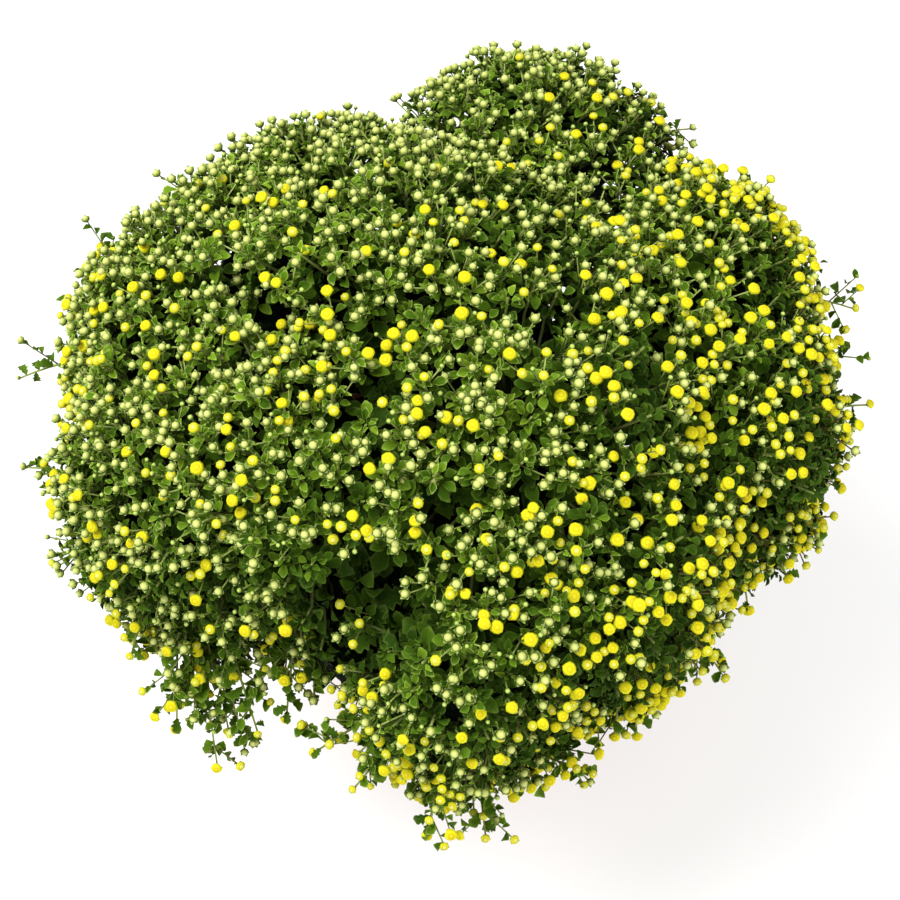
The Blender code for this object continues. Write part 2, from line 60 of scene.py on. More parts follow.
# %% [markdown]
# ## The view
# The photograph looks down on the bush from the front, steeply, so that no pot shows. A camera has to
# stand at the same place and with the same lens, or the mounds don't cover each other as they do
# there. The shift is the few pixels that the bush stands off the picture's middle.

# %% Camera
ELEVATION = math.radians(57)
DISTANCE = 1.25
AIM = Vector((0.0, 0.0, 0.31))
PICTURE = 900
FOCAL_PIXELS = 1812
AIM_PIXEL = (446, 422)

bpy.ops.object.select_all(action="DESELECT")
back = Vector((0.0, -math.cos(ELEVATION), math.sin(ELEVATION)))
bpy.ops.object.camera_add(location=AIM + back * DISTANCE)
camera = bpy.context.object
camera.rotation_euler = (-back).to_track_quat("-Z", "Y").to_euler()
camera.data.sensor_width = 36
camera.data.lens = 36 * FOCAL_PIXELS / PICTURE
camera.data.shift_x = (PICTURE / 2 - AIM_PIXEL[0]) / PICTURE
camera.data.shift_y = (AIM_PIXEL[1] - PICTURE / 2) / PICTURE
camera.data.clip_start = 0.05
camera.data.dof.use_dof = False
bpy.context.scene.camera = camera
print("lens", round(camera.data.lens, 1), "mm")

# %% [markdown]
# ## Colour and nodes
# Colours are written as the hex values that a screen shows. A shader works in linear light, so one
# function turns them. A second small function adds a node with its settings and links. It returns
# the node's outputs, so that a node's name or number in square brackets picks the one to go on with.

# %% Two helpers for materials


def linear(hex_colour):
    """Turn an sRGB hex colour into linear red, green, blue and alpha."""
    parts = [int(hex_colour[k:k + 2], 16) / 255 for k in (1, 3, 5)]
    turned = [c / 12.92 if c <= 0.04045 else ((c + 0.055) / 1.055) ** 2.4 for c in parts]
    return (*turned, 1.0)


def add(tree, kind, inputs=None, stops=(), **settings):
    """Add a node, set it up, fill or link its inputs, lay its colour stops. Return its outputs."""
    made = tree.nodes.new("ShaderNode" + kind)
    for name, value in settings.items():
        setattr(made, name, value)
    for name, value in (inputs or {}).items():
        if isinstance(value, bpy.types.NodeSocket):
            tree.links.new(value, made.inputs[name])
        else:
            made.inputs[name].default_value = linear(value) if isinstance(value, str) else value
    while stops and len(made.color_ramp.elements) < len(stops):
        made.color_ramp.elements.new(1.0)
    for number, (place, colour) in enumerate(stops):
        made.color_ramp.elements[number].position = place
        made.color_ramp.elements[number].color = linear(colour)
    return made.outputs


def start_material(name, roughness, specular=0.5):
    """Make an empty material and return it with its tree and its shader."""
    material = bpy.data.materials.new(name)
    material.use_nodes = True
    tree = material.node_tree
    shader = tree.nodes["Principled BSDF"]
    shader.inputs["Roughness"].default_value = roughness
    shader.inputs["Specular IOR Level"].default_value = specular
    print("material", name)
    return material, tree, shader


# %% [markdown]
# ## Daylight in a studio
# The bush is lit softly from above, a little stronger from the left, as its pale left flank shows. A
# white world gives the soft part, so that the gaps between shoots go dark by themselves, and one large
# lamp gives the direction. A weak low one on the right keeps the blooms on that flank bright, as under
# an open sky. The floor is plain and pale. Part of its white is a glow of its own, so that the shadow
# on it stays faint, as round a thing photographed on a light table.

# %% World, lamps and floor
FLOOR_SIZE = 9.0
FLOOR_DROP = 0.0005
FLOOR_GLOW = 0.52
SKY_STRENGTH = 0.78
KEY_PLACE = Vector((-1.3, -0.10, 2.9))
KEY_SIZE = 1.4
KEY_POWER = 112.0
FILL_PLACE = Vector((1.5, -1.3, 0.9))
FILL_SIZE = 1.2
FILL_POWER = 20.0

scene = bpy.context.scene
scene.view_settings.view_transform = "Standard"
world = bpy.data.worlds.new("soft_daylight")
scene.world = world
world.use_nodes = True
sky = world.node_tree.nodes["Background"]
sky.inputs["Color"].default_value = linear("#FFFFFF")
sky.inputs["Strength"].default_value = SKY_STRENGTH
for name, place, size, power in (
    ("key", KEY_PLACE, KEY_SIZE, KEY_POWER), ("fill", FILL_PLACE, FILL_SIZE, FILL_POWER),
):
    bpy.ops.object.light_add(type="AREA", location=place)
    lamp = bpy.context.object
    lamp.name = name
    lamp.rotation_euler = (place - AIM).to_track_quat("Z", "Y").to_euler()
    lamp.data.size = size
    lamp.data.energy = power

bpy.ops.object.select_all(action="DESELECT")
bpy.ops.mesh.primitive_plane_add(size=FLOOR_SIZE, location=(0, 0, cad_box[0].z - FLOOR_DROP))
floor = bpy.context.object
floor.name = "floor"
paper, tree, shader = start_material("matt_white_floor", 0.9, specular=0.1)
shader.inputs["Base Color"].default_value = linear("#B8B8B6")
shader.inputs["Emission Color"].default_value = linear("#FFFFFF")
shader.inputs["Emission Strength"].default_value = FLOOR_GLOW
floor.data.materials.append(paper)
print("floor at", round(floor.location.z, 4))

# %% [markdown]
# ## The mounds
# A cushion chrysanthemum is several cuttings in one pot. Each has grown into one or two mounds of
# shoots, and together they make the dome. The places and sizes of the mounds are the CAD's: a mound is
# an ellipsoid that rises 1.12 times its radius and hangs 1.80 times its radius.

# %% Mounds and stray shoots, as in the CAD
MOUNDS = {
    "plant_back": [(0.068, 0.185, 0.362, 0.084)],
    "plant_left_back": [(-0.094, 0.083, 0.406, 0.086), (-0.169, 0.017, 0.384, 0.085)],
    "plant_left_front": [(-0.169, -0.091, 0.359, 0.088), (-0.082, -0.124, 0.406, 0.072)],
    "plant_middle": [(-0.014, 0.008, 0.424, 0.091), (0.045, -0.092, 0.412, 0.088)],
    "plant_right": [(0.167, 0.072, 0.371, 0.087), (0.177, -0.040, 0.356, 0.098)],
    "plant_front": [(0.109, -0.168, 0.376, 0.069), (0.011, -0.211, 0.357, 0.074)],
}
STRAYS = {
    "plant_back": [(0.188, 0.227, 0.360), (0.036, 0.262, 0.400)],
    "plant_left_back": [(-0.300, 0.021, 0.330), (-0.237, 0.088, 0.400)],
    "plant_left_front": [
        (-0.290, -0.040, 0.318), (-0.176, -0.210, 0.252), (-0.150, -0.226, 0.226),
        (-0.134, -0.206, 0.206), (-0.206, -0.176, 0.290),
    ],
    "plant_middle": [],
    "plant_right": [
        (0.209, 0.156, 0.400), (0.290, 0.066, 0.350), (0.295, 0.004, 0.328),
        (0.235, -0.110, 0.330), (0.226, -0.130, 0.310),
    ],
    "plant_front": [
        (-0.090, -0.226, 0.262), (0.180, -0.180, 0.300), (0.153, -0.189, 0.300),
        (0.123, -0.221, 0.270), (0.097, -0.242, 0.250), (0.045, -0.262, 0.270),
        (0.026, -0.282, 0.250), (-0.013, -0.280, 0.250), (-0.063, -0.256, 0.270),
    ],
}
PLANTS = list(MOUNDS)
MOUND_RISE = 1.12
MOUND_HANG = 1.80
MELT = 4.0
SEED = 41

rng = np.random.default_rng(SEED)
centres = np.array([mound[:3] for plant in PLANTS for mound in MOUNDS[plant]])
radii = np.array([mound[3] for plant in PLANTS for mound in MOUNDS[plant]])
grown_by = np.array([number for number, plant in enumerate(PLANTS) for _ in MOUNDS[plant]])


def stretched(offsets):
    """Return how much a mound is stretched on the side where each offset lies."""
    return np.where(offsets[..., 2] > 0, MOUND_RISE, MOUND_HANG)


def mound_shares(points):
    """Return each point's distance from each mound's centre, 1 at its surface."""
    offsets = points[:, None, :] - centres
    offsets[..., 2] /= stretched(offsets)
    return np.linalg.norm(offsets, axis=2) / radii


def dome_share(points):
    """Return 1 on the dome, less inside, with neighbouring mounds melted together."""
    return (mound_shares(points) ** -MELT).sum(axis=1) ** (-1 / MELT)


def unit(vectors):
    """Return vectors at length one."""
    return vectors / np.linalg.norm(vectors, axis=-1, keepdims=True)


def fade(values, start, full):
    """Return 0 up to a start, 1 from a full value on, and a steady rise between the two."""
    return np.clip((values - start) / (full - start), 0, 1)


def dome_normals(points, step=0.004):
    """Return the dome's outward normals, from how fast its share grows each way."""
    slopes = [dome_share(points + way) - dome_share(points - way) for way in np.eye(3) * step]
    return unit(np.stack(slopes, axis=1))


print(len(centres), "mounds,", sum(map(len, STRAYS.values())), "stray shoots")

# %% [markdown]
# ## Where the shoots end
# On the real bush a shoot ends every centimetre or two, at about the same height as its neighbours,
# because all compete for the same light. A plain grid would show. Points are thrown at the dome at
# random instead, and one is kept if it is far enough from those kept before it.

# %% Throw points at the dome
# how many steps bring a thrown point onto the dome, and how much nearer another mound may be
STEPS = 8
OWN_SHARE = 0.02
# how far leaves and buds keep off the floor and the pot
FLOOR_ROOM = 0.015
POT_REACH = 0.142
POT_TOP = 0.232


def on_dome(throws):
    """Throw points at every mound and return those on the dome with their mounds."""
    ways = unit(rng.normal(size=(len(centres), throws, 3)))
    points, owners = [], []
    for number, way in enumerate(ways):
        out = way * radii[number]
        out[:, 2] *= stretched(way)
        share = np.ones(throws)
        for _ in range(STEPS):
            share /= dome_share(centres[number] + out * share[:, None])
        surface = centres[number] + out * share[:, None]
        near = mound_shares(surface)
        own = near[:, number] < near.min(axis=1) + OWN_SHARE
        points.append(surface[own])
        owners.append(np.full(own.sum(), number))
    points, owners = np.concatenate(points), np.concatenate(owners)
    order = rng.permutation(len(points))
    return points[order], owners[order]


def far_apart(points, gap):
    """Return which points to keep so that no two are nearer than a gap."""
    cells, kept = {}, []
    around = [(i, j, k) for i in (-1, 0, 1) for j in (-1, 0, 1) for k in (-1, 0, 1)]
    for number, point in enumerate(points):
        x, y, z = (int(v) for v in np.floor(point / gap))
        near = [other for i, j, k in around for other in cells.get((x + i, y + j, z + k), ())]
        if near and np.min(((points[near] - point) ** 2).sum(axis=1)) < gap * gap:
            continue
        cells.setdefault((x, y, z), []).append(number)
        kept.append(number)
    return np.array(kept)


def off_pot(points):
    """Tell which points are clear of the pot and of the floor."""
    across = np.hypot(points[:, 0], points[:, 1])
    return ((across > POT_REACH) | (points[:, 2] > POT_TOP)) & (points[:, 2] > FLOOR_ROOM)


print("points keep", POT_REACH, "m off the pot's middle")

# %% Spread the shoots over the dome
SHOOT_GAP = 0.0162
THROWS = 3000
UNDERSIDE_REACH = 0.10
UNDERSIDE_TOP = 0.290
# how far the shoots of each mound stop short of the CAD's surface, which is where the buds reach
STOP_SHORT = (0.003, 0.021, 0.014, 0.013, 0.010, 0.007, 0.007, 0.014, 0.018, 0.017, 0.014)
UNEVEN = 0.0032
PROUD_SHARE = 0.04
PROUD_BY = 0.008
# how much shorter still the shoots are on each mound's rear. The second mound also loses as much on
# its rear's left side as it gains on the right.
SHORT_REAR = (0.016, 0.002, 0.009, 0, 0, 0, 0, 0.012, 0, 0, 0)
SHORT_SHOULDER = 0.026
# the back mound is wider than the CAD's, most to the left
LEFTWARD = 0.019
RIGHTWARD = 0.013
# where two mounds meet, the shoots reach up to fill the valley, most where the dome faces up
VALLEY_FILL = 0.012
VALLEY_SHARE = 0.19
FACING_UP = (0.3, 0.8)
# in the middle of a ring of mounds they reach up most: a place from above, a reach and a rise
RING_MIDDLES = [
    (-0.115, -0.028, 0.060, 0.026), (0.108, -0.003, 0.050, 0.018), (0.112, -0.100, 0.040, 0.014),
]
# shoots that close what the rule for gaps would leave open on the dome
CLOSING_SHOOTS = [
    (-0.094, -0.045, 0.498), (-0.123, -0.019, 0.494), (-0.108, -0.054, 0.492), (-0.132, -0.064, 0.484),
    (-0.080, -0.105, 0.499), (-0.019, -0.150, 0.487), (-0.024, -0.056, 0.520), (0.005, -0.113, 0.512),
    (0.037, -0.142, 0.505), (0.067, -0.133, 0.507), (0.060, -0.202, 0.457), (0.062, -0.230, 0.436),
    (0.012, -0.176, 0.474), (0.108, -0.161, 0.476), (0.154, -0.104, 0.466), (-0.057, -0.228, 0.409),
]
CLOSING_SHORT = 0.009


def lift_at(points):
    """Return how far shoots are raised in the middle of a ring of mounds."""
    lifts = np.zeros((len(points), 3))
    for x, y, reach, rise in RING_MIDDLES:
        away = np.hypot(points[:, 0] - x, points[:, 1] - y)
        lifts[:, 2] += rise * np.clip(1 - (away / reach) ** 2, 0, 1)
    return lifts


ends, end_mounds = on_dome(THROWS)
open_side = np.hypot(ends[:, 0], ends[:, 1]) > UNDERSIDE_REACH
open_side |= ends[:, 2] > UNDERSIDE_TOP
clear = off_pot(ends) & open_side
ends, end_mounds = ends[clear], end_mounds[clear]
kept = far_apart(ends, SHOOT_GAP)
ends, end_mounds = ends[kept], end_mounds[kept]
normals = dome_normals(ends)
short = np.array(STOP_SHORT)[end_mounds] + rng.normal(size=len(ends)) * UNEVEN
short -= np.where(rng.uniform(0, 1, len(ends)) < PROUD_SHARE, PROUD_BY, 0)
sideways = np.where(normals[:, 0] < 0, LEFTWARD, RIGHTWARD) * np.abs(normals[:, 0])
short += np.array(SHORT_REAR)[end_mounds] * np.clip(normals[:, 1], 0, 1)
short -= np.where(end_mounds == 0, sideways, 0)
shoulder = np.clip(normals[:, 1], 0, 1) * -normals[:, 0]
short += np.where(end_mounds == 1, SHORT_SHOULDER * shoulder, 0)
in_valley = fade(mound_shares(ends).min(axis=1), 1, 1 + VALLEY_SHARE)
short -= VALLEY_FILL * in_valley * fade(normals[:, 2], *FACING_UP)
ends = ends - normals * short[:, None] + lift_at(ends)
closing = np.array(CLOSING_SHOOTS)
closing_normals = dome_normals(closing)
ends = np.concatenate((ends, closing - closing_normals * CLOSING_SHORT))
normals = np.concatenate((normals, closing_normals))
end_mounds = np.concatenate((end_mounds, mound_shares(closing).argmin(axis=1)))
print(len(ends), "shoots")

# %% [markdown]
# ## Gaps in the dome
# Where two plants lean apart, the dome opens into dark clefts, and large lobed leaves show inside. The
# shoots there end lower, and in the deepest ones they carry no buds. Each cleft is a place on the
# dome, a reach and a depth. The leaves in a cleft are also painted darker, as shade.

# %% Clefts between the plants
CLEFTS = [
    (-0.040, -0.206, 0.442, 0.026, 0.060),
    (-0.056, -0.216, 0.424, 0.024, 0.055),
    (-0.066, -0.229, 0.385, 0.020, 0.034),
    (-0.002, -0.165, 0.480, 0.012, 0.034),
    (-0.044, -0.061, 0.513, 0.013, 0.034),
    (0.025, 0.011, 0.528, 0.013, 0.034),
    (0.010, 0.038, 0.527, 0.011, 0.028),
    (0.067, -0.058, 0.517, 0.015, 0.030),
    (0.100, -0.170, 0.474, 0.012, 0.026),
    (0.135, -0.129, 0.471, 0.013, 0.026),
    (-0.072, -0.121, 0.499, 0.012, 0.034),
    (0.129, -0.052, 0.485, 0.014, 0.028),
    (-0.038, -0.093, 0.505, 0.011, 0.026),
    (0.148, -0.092, 0.473, 0.012, 0.026),
]
# a cleft starts at this many times its reach, and has its full depth from this many inwards
CLEFT_FOOT = 1.35
CLEFT_FLOOR = 0.70
DEEP = 0.014


def dip_at(points):
    """Return how far the clefts push the dome in at each point."""
    dips = np.zeros(len(points))
    for x, y, z, reach, depth in CLEFTS:
        away = np.linalg.norm(points - np.array((x, y, z)), axis=1)
        dips = np.maximum(dips, depth * fade(away / reach, CLEFT_FOOT, CLEFT_FLOOR))
    return dips


dips = dip_at(ends)
ends = ends - normals * dips[:, None]
deep = dips > DEEP
print(deep.sum(), "shoots end inside a cleft")

# %% [markdown]
# ## Which way the shoots lean
# A shoot grows away from the foot of its plant and turns to the light at the dome. So its last stretch
# leans between the line from the foot and the dome's normal. Seen from the front, that makes the
# stalks on the left flank point left, as in the photograph.

# %% Lean of each shoot
FOOT_HEIGHT = 0.23
FOOT_SHARE = 0.30
LEAN_OUT = 0.55
LEAN_JITTER = 0.10


def jitter(count, amount):
    """Return small random vectors."""
    return rng.normal(size=(count, 3)) * amount


middles = np.array([np.mean([m[:3] for m in MOUNDS[plant]], axis=0) for plant in PLANTS])
feet = middles[grown_by[end_mounds]] * FOOT_SHARE
feet[:, 2] = FOOT_HEIGHT
leans = unit(unit(ends - feet) * LEAN_OUT + normals * (1 - LEAN_OUT) + jitter(len(ends), LEAN_JITTER))
shoot_plants = grown_by[end_mounds]
off_normal = np.degrees(np.arccos((leans * normals).sum(axis=1)))
print("mean lean off the normal", round(float(off_normal.mean())), "degrees")

# %% [markdown]
# ## Shapes that repeat
# Each kind of leaf and bud is modelled once, by hand so to say: a primitive is drawn into shape row by
# row in edit mode. It stays at a few dozen triangles, because it is copied thousands of times. The
# copies of one plant are written into one mesh with numpy: as objects of their own they would take
# Blender far too long to handle.

# %% Tools to model a shape once


def start(operator, **settings):
    """Add a primitive with nothing else selected, and return it."""
    bpy.ops.object.select_all(action="DESELECT")
    operator(**settings)
    return bpy.context.object


def pick(piece, test):
    """Select, in edit mode, the points whose place passes a test."""
    bpy.ops.object.mode_set(mode="EDIT")
    bpy.ops.mesh.select_mode(type="VERT")
    bpy.ops.mesh.select_all(action="DESELECT")
    bpy.ops.object.mode_set(mode="OBJECT")
    for point in piece.data.vertices:
        point.select = bool(test(point.co))
    bpy.ops.object.mode_set(mode="EDIT")


class Shape:
    """A modelled shape as arrays: its points, triangles, pattern places and materials."""

    def __init__(self, piece, radial=False, along=False):
        bpy.ops.object.mode_set(mode="EDIT")
        bpy.ops.mesh.select_all(action="SELECT")
        bpy.ops.mesh.quads_convert_to_tris()
        bpy.ops.object.mode_set(mode="OBJECT")
        mesh = piece.data
        count = len(mesh.polygons)
        self.points = np.empty(len(mesh.vertices) * 3)
        mesh.vertices.foreach_get("co", self.points)
        self.points = self.points.reshape(-1, 3)
        self.faces = np.empty(count * 3, dtype=np.int64)
        mesh.loops.foreach_get("vertex_index", self.faces)
        self.faces = self.faces.reshape(-1, 3)
        self.places = np.zeros((count * 3, 2))
        if radial:
            across = np.hypot(self.points[:, 0], self.points[:, 1])
            self.places[:, 0] = (across / across.max())[self.faces.ravel()]
            self.places[:, 1] = self.points[self.faces.ravel(), 2]
        else:
            mesh.uv_layers.active.data.foreach_get("uv", self.places.reshape(-1))
        if along:
            self.places[:, 1] = self.points[self.faces.ravel(), 2]
        self.materials = np.empty(count, dtype=np.int64)
        mesh.polygons.foreach_get("material_index", self.materials)
        print(piece.name, count, "triangles")
        bpy.data.objects.remove(piece, do_unlink=True)

    def in_material(self, number):
        """Return this shape with all its triangles in one material."""
        other = object.__new__(Shape)
        other.points, other.faces, other.places = self.points, self.faces, self.places
        other.materials = np.full(len(self.faces), number)
        return other

    def joined(self, other):
        """Return this shape and another as one."""
        both = object.__new__(Shape)
        both.points = np.concatenate((self.points, other.points))
        both.faces = np.concatenate((self.faces, other.faces + len(self.points)))
        both.places = np.concatenate((self.places, other.places))
        both.materials = np.concatenate((self.materials, other.materials))
        return both


# %% [markdown]
# ## The leaves
# A garden chrysanthemum's leaf is lobed: blunt lobes that point forward, widest past the middle, with
# pale edges that curl up. Near the flowers it shrinks to a small spoon. Both start as a grid. Each row
# is drawn in or out to the outline, its edges are pushed forward and up, and the rows sink towards
# the tip. The grid's own UV map stays, so veins and pale edges can follow the blade.

# %% Model the leaves
# how near a row's height a point must be to belong to it, and what counts as off the rib and as edge
ROW_ROOM = 0.01
OFF_RIB = 0.1
EDGE = 0.8


def model_leaf(name, across, rows, fold, droop):
    """Draw a grid's rows to (half width, push forward) pairs, folded and drooped."""
    leaf = start(
        bpy.ops.mesh.primitive_grid_add, x_subdivisions=across, y_subdivisions=len(rows) - 1,
        size=1.0, location=(0.0, 0.5, 0.0),
    )
    leaf.name = name
    bpy.ops.object.transform_apply(location=True, rotation=True, scale=True)
    for number, (half, forward) in enumerate(rows):
        here = number / (len(rows) - 1)
        pick(leaf, lambda place: abs(place.y - here) < ROW_ROOM)
        bpy.ops.transform.resize(value=(2 * half, 1, 1), center_override=(0, here, 0))
        bpy.ops.transform.translate(value=(0, 0, -droop * here * here))
        pick(leaf, lambda place: abs(place.y - here) < ROW_ROOM and abs(place.x) > OFF_RIB * half)
        bpy.ops.transform.translate(value=(0, forward * 0.5, fold * half * 0.5))
        moved = here + forward * 0.5
        pick(leaf, lambda place: abs(place.y - moved) < ROW_ROOM and abs(place.x) > EDGE * half)
        bpy.ops.transform.translate(value=(0, forward * 0.5, fold * half * 0.8))
    return Shape(leaf)


TINY_ROWS = [(0.08, 0.0), (0.30, 0.0), (0.12, -0.10)]
SPOON_ROWS = [(0.06, 0.0), (0.28, 0.0), (0.37, 0.01), (0.15, -0.07)]
BRACT_ROWS = [(0.05, 0.0), (0.20, 0.03), (0.34, 0.05), (0.33, 0.04), (0.14, -0.04)]
LOBED_ROWS = [
    (0.03, 0.0), (0.12, 0.0), (0.29, 0.06), (0.19, 0.01), (0.41, 0.07), (0.27, 0.02), (0.35, 0.06),
    (0.30, 0.02), (0.12, -0.04),
]
tiny = model_leaf("tiny_leaf", 2, TINY_ROWS, fold=0.80, droop=0.10)
spoon = model_leaf("spoon_leaf", 2, SPOON_ROWS, fold=0.80, droop=0.22)
bract = model_leaf("bract_leaf", 2, BRACT_ROWS, fold=0.65, droop=0.26)
lobed = model_leaf("lobed_leaf", 2, LOBED_ROWS, fold=0.42, droop=0.30)

# %% [markdown]
# ## The buds
# A bud goes through four stages on one bush: a tight green button, a pale ball held by the claws of
# its green cup, an opening yellow button with a dimple, and a small open bloom with a ragged rim. The
# balls start as spheres with few rings. The cup starts as a cone, and every other point of its lip is
# pulled up into a claw.

# %% Model the bud stages
# all sizes are shares of the bud's own width
CUP_FOOT = 0.16
CUP_DEPTH = 0.38
CUP_MIDDLE = 0.14
LIP = 0.2
BALL_MIDDLE = 0.42
POLE = 0.01
WAIST = 0.38
RAGGED_DROP = 0.6


def model_cup(name, sides, claw, wide, hug):
    """Draw a cup from a cone: open its top, and pull every other point to a claw."""
    cup = start(
        bpy.ops.mesh.primitive_cone_add, vertices=sides, radius1=CUP_FOOT, radius2=wide,
        depth=CUP_DEPTH, location=(0.0, 0.0, CUP_MIDDLE), end_fill_type="NGON",
    )
    cup.name = name
    bpy.ops.object.transform_apply(location=True, rotation=True, scale=True)
    pick(cup, lambda place: place.z > LIP)
    bpy.ops.mesh.delete(type="ONLY_FACE")
    turn = math.tau / sides
    pick(cup, lambda place: place.z > LIP and round(math.atan2(place.x, place.y) / turn) % 2 == 0)
    bpy.ops.transform.translate(value=(0, 0, claw))
    bpy.ops.transform.resize(value=(hug, hug, 1), center_override=(0, 0, 0))
    return Shape(cup, radial=True)


def model_ball(name, segments, rings, wide, flat, dimple, ragged):
    """Draw a packed head of florets from a sphere: flattened, dimpled, and ragged."""
    ball = start(
        bpy.ops.mesh.primitive_uv_sphere_add, segments=segments, ring_count=rings, radius=0.5,
    )
    ball.name = name
    pick(ball, lambda place: True)
    bpy.ops.transform.resize(value=(wide, wide, flat), center_override=(0, 0, 0))
    bpy.ops.transform.translate(value=(0, 0, BALL_MIDDLE))
    pick(ball, lambda place: math.hypot(place.x, place.y) < POLE and place.z > BALL_MIDDLE)
    bpy.ops.transform.translate(value=(0, 0, -dimple))
    turn = math.tau / segments
    for side, grow in enumerate(ragged):
        pick(ball, lambda place: math.hypot(place.x, place.y) > WAIST
             and round(math.atan2(place.y, place.x) / turn) % segments == side)
        bpy.ops.transform.resize(value=(grow, grow, 1), center_override=(0, 0, BALL_MIDDLE))
        bpy.ops.transform.translate(value=(0, 0, (1 - grow) * RAGGED_DROP))
    return Shape(ball, radial=True)


RAGGED = (1.10, 0.98, 1.06, 1.13, 0.95, 1.08, 1.00, 1.12, 0.96, 1.05)
STAGES = {
    "button": model_cup("button_cup", 6, 0.22, 0.46, 1.00).joined(
        model_ball("button_florets", 6, 3, 0.96, 1.0, 0.0, ()).in_material(1)),
    "ball": model_cup("ball_cup", 10, 0.30, 0.50, 1.26).joined(
        model_ball("ball_florets", 7, 4, 0.90, 0.90, 0.0, ()).in_material(2)),
    "opening": model_cup("opening_cup", 6, 0.18, 0.50, 1.06).joined(
        model_ball("opening_florets", 8, 4, 1.0, 0.74, 0.14, ()).in_material(3)),
    "open": model_cup("open_cup", 6, 0.10, 0.42, 1.0).joined(
        model_ball("open_florets", 10, 4, 1.0, 0.62, 0.10, RAGGED).in_material(4)),
}
# the width of each, in metres
BUD_SIZES = {"button": 0.0034, "ball": 0.0060, "opening": 0.0061, "open": 0.0073}

# %% [markdown]
# ## The stalk
# Stems, twigs and flower stalks are all round and taper a little. One straight stalk of unit length is
# modelled from a cylinder with its side edges cut into rings, and each copy is then bent along its own
# curve. Three or four sides are enough on a stalk of one millimetre.

# %% Model the stalk


def model_stalk(name, sides, cuts):
    """Make a straight stalk from 0 to 1 in height, with rings to bend at."""
    stalk = start(
        bpy.ops.mesh.primitive_cylinder_add, vertices=sides, radius=1.0, depth=1.0,
        location=(0.0, 0.0, 0.5), end_fill_type="NGON",
    )
    stalk.name = name
    bpy.ops.object.transform_apply(location=True, rotation=True, scale=True)
    for cut in range(1, cuts + 1):
        pick(stalk, lambda place: True)
        bpy.ops.mesh.bisect(plane_co=(0, 0, cut / (cuts + 1)), plane_no=(0, 0, 1))
    return Shape(stalk, along=True)


thin_stalk = model_stalk("thin_stalk", 3, 0)
shoot_stalk = model_stalk("shoot_stalk", 4, 2)
stray_stalk = model_stalk("stray_stalk", 6, 6)
woody_stem = model_stalk("woody_stem", 10, 8)

# %% [markdown]
# ## Copies
# A leaf or a bud is copied by its place, its three axes and its size. A stalk is bent along a curve
# from its root to its tip. Then the copies of each plant are written into one mesh. Each carries a tone
# of its own and the depth at which it grows, which the materials read. On leaves the painted shade of a
# shaded flank is added to the depth, and the materials darken deep copies as painted shade.

# %% Copy shapes


def axes_from(along, above):
    """Return turned axes: across, along and above, as rows for each copy."""
    across = unit(np.cross(along, above))
    return np.stack((across, along, np.cross(across, along)), axis=1)


def upright_axes(up):
    """Return axes whose third is the given way, turned at random about it."""
    helper = unit(rng.normal(size=up.shape))
    across = unit(np.cross(up, helper))
    return np.stack((across, np.cross(up, across), up), axis=1)


def copy_shape(shape, places, axes, sizes):
    """Return the points of every copy of a shape, at one size for each copy or one for each axis."""
    sizes = sizes[:, None] if sizes.ndim == 2 else sizes[:, None, None]
    return np.einsum("kpi,kij->kpj", shape.points[None] * sizes, axes) + places[:, None]


def bend_stalks(shape, roots, controls, tips, low, high):
    """Return the points of stalks bent from roots to tips."""
    t = shape.points[None, :, 2:3]
    path = roots[:, None] * (1 - t) ** 2 + controls[:, None] * 2 * t * (1 - t)
    path = path + tips[:, None] * t * t
    along = unit((controls - roots)[:, None] * (1 - t) + (tips - controls)[:, None] * t)
    helper = unit(np.cross(tips - roots, rng.normal(size=roots.shape)))[:, None]
    side = unit(helper - along * (helper * along).sum(axis=2, keepdims=True))
    radius = np.reshape(low, (-1, 1, 1)) * (1 - t) + np.reshape(high, (-1, 1, 1)) * t
    ring = side * shape.points[None, :, 0:1] + np.cross(along, side) * shape.points[None, :, 1:2]
    return path + ring * radius


# %% Gather copies and make them into pieces


class Heap:
    """Copies of shapes gathered by plant, and made into one piece for each plant."""

    def __init__(self):
        self.batches = []

    def put(self, shape, points, plants, tones, depths):
        """Add copies with the plant, tone and depth of each."""
        self.batches.append((shape, points, plants, tones, depths))

    def make(self, kind, plant, materials):
        """Make the piece of one plant from its copies, and return it."""
        number = PLANTS.index(plant)
        points, faces, uvs, slots, tones, depths = [], [], [], [], [], []
        base = 0
        for shape, places, plants, tone, depth in self.batches:
            mine = plants == number
            count = int(mine.sum())
            if not count:
                continue
            size = len(shape.points)
            points.append(places[mine].reshape(-1, 3))
            starts = base + size * np.arange(count)
            faces.append((shape.faces[None] + starts[:, None, None]).reshape(-1, 3))
            uvs.append(np.tile(shape.places, (count, 1)))
            slots.append(np.tile(shape.materials, count))
            tones.append(np.repeat(tone[mine], size))
            depths.append(np.repeat(depth[mine], size))
            base += size * count
        points, faces = np.concatenate(points), np.concatenate(faces)
        mesh = bpy.data.meshes.new(f"{plant}_{kind}")
        mesh.vertices.add(len(points))
        mesh.vertices.foreach_set("co", points.ravel().astype(np.float32))
        mesh.loops.add(len(faces) * 3)
        mesh.loops.foreach_set("vertex_index", faces.ravel().astype(np.int32))
        mesh.polygons.add(len(faces))
        mesh.polygons.foreach_set("loop_start", np.arange(0, len(faces) * 3, 3, dtype=np.int32))
        mesh.polygons.foreach_set("material_index", np.concatenate(slots).astype(np.int32))
        blade = mesh.uv_layers.new(name="blade")
        blade.data.foreach_set("uv", np.concatenate(uvs).ravel().astype(np.float32))
        for name, values in (("tone", tones), ("depth", depths)):
            shown = mesh.attributes.new(name, "FLOAT", "POINT")
            shown.data.foreach_set("value", np.concatenate(values).astype(np.float32))
        mesh.update(calc_edges=True)
        mesh.shade_smooth()
        piece = bpy.data.objects.new(mesh.name, mesh)
        scene.collection.objects.link(piece)
        for material in materials:
            mesh.materials.append(material)
        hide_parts(plant)
        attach(piece, "root")
        print(piece.name, len(faces), "triangles")
        return piece


leaves, stalks, buds = Heap(), Heap(), Heap()

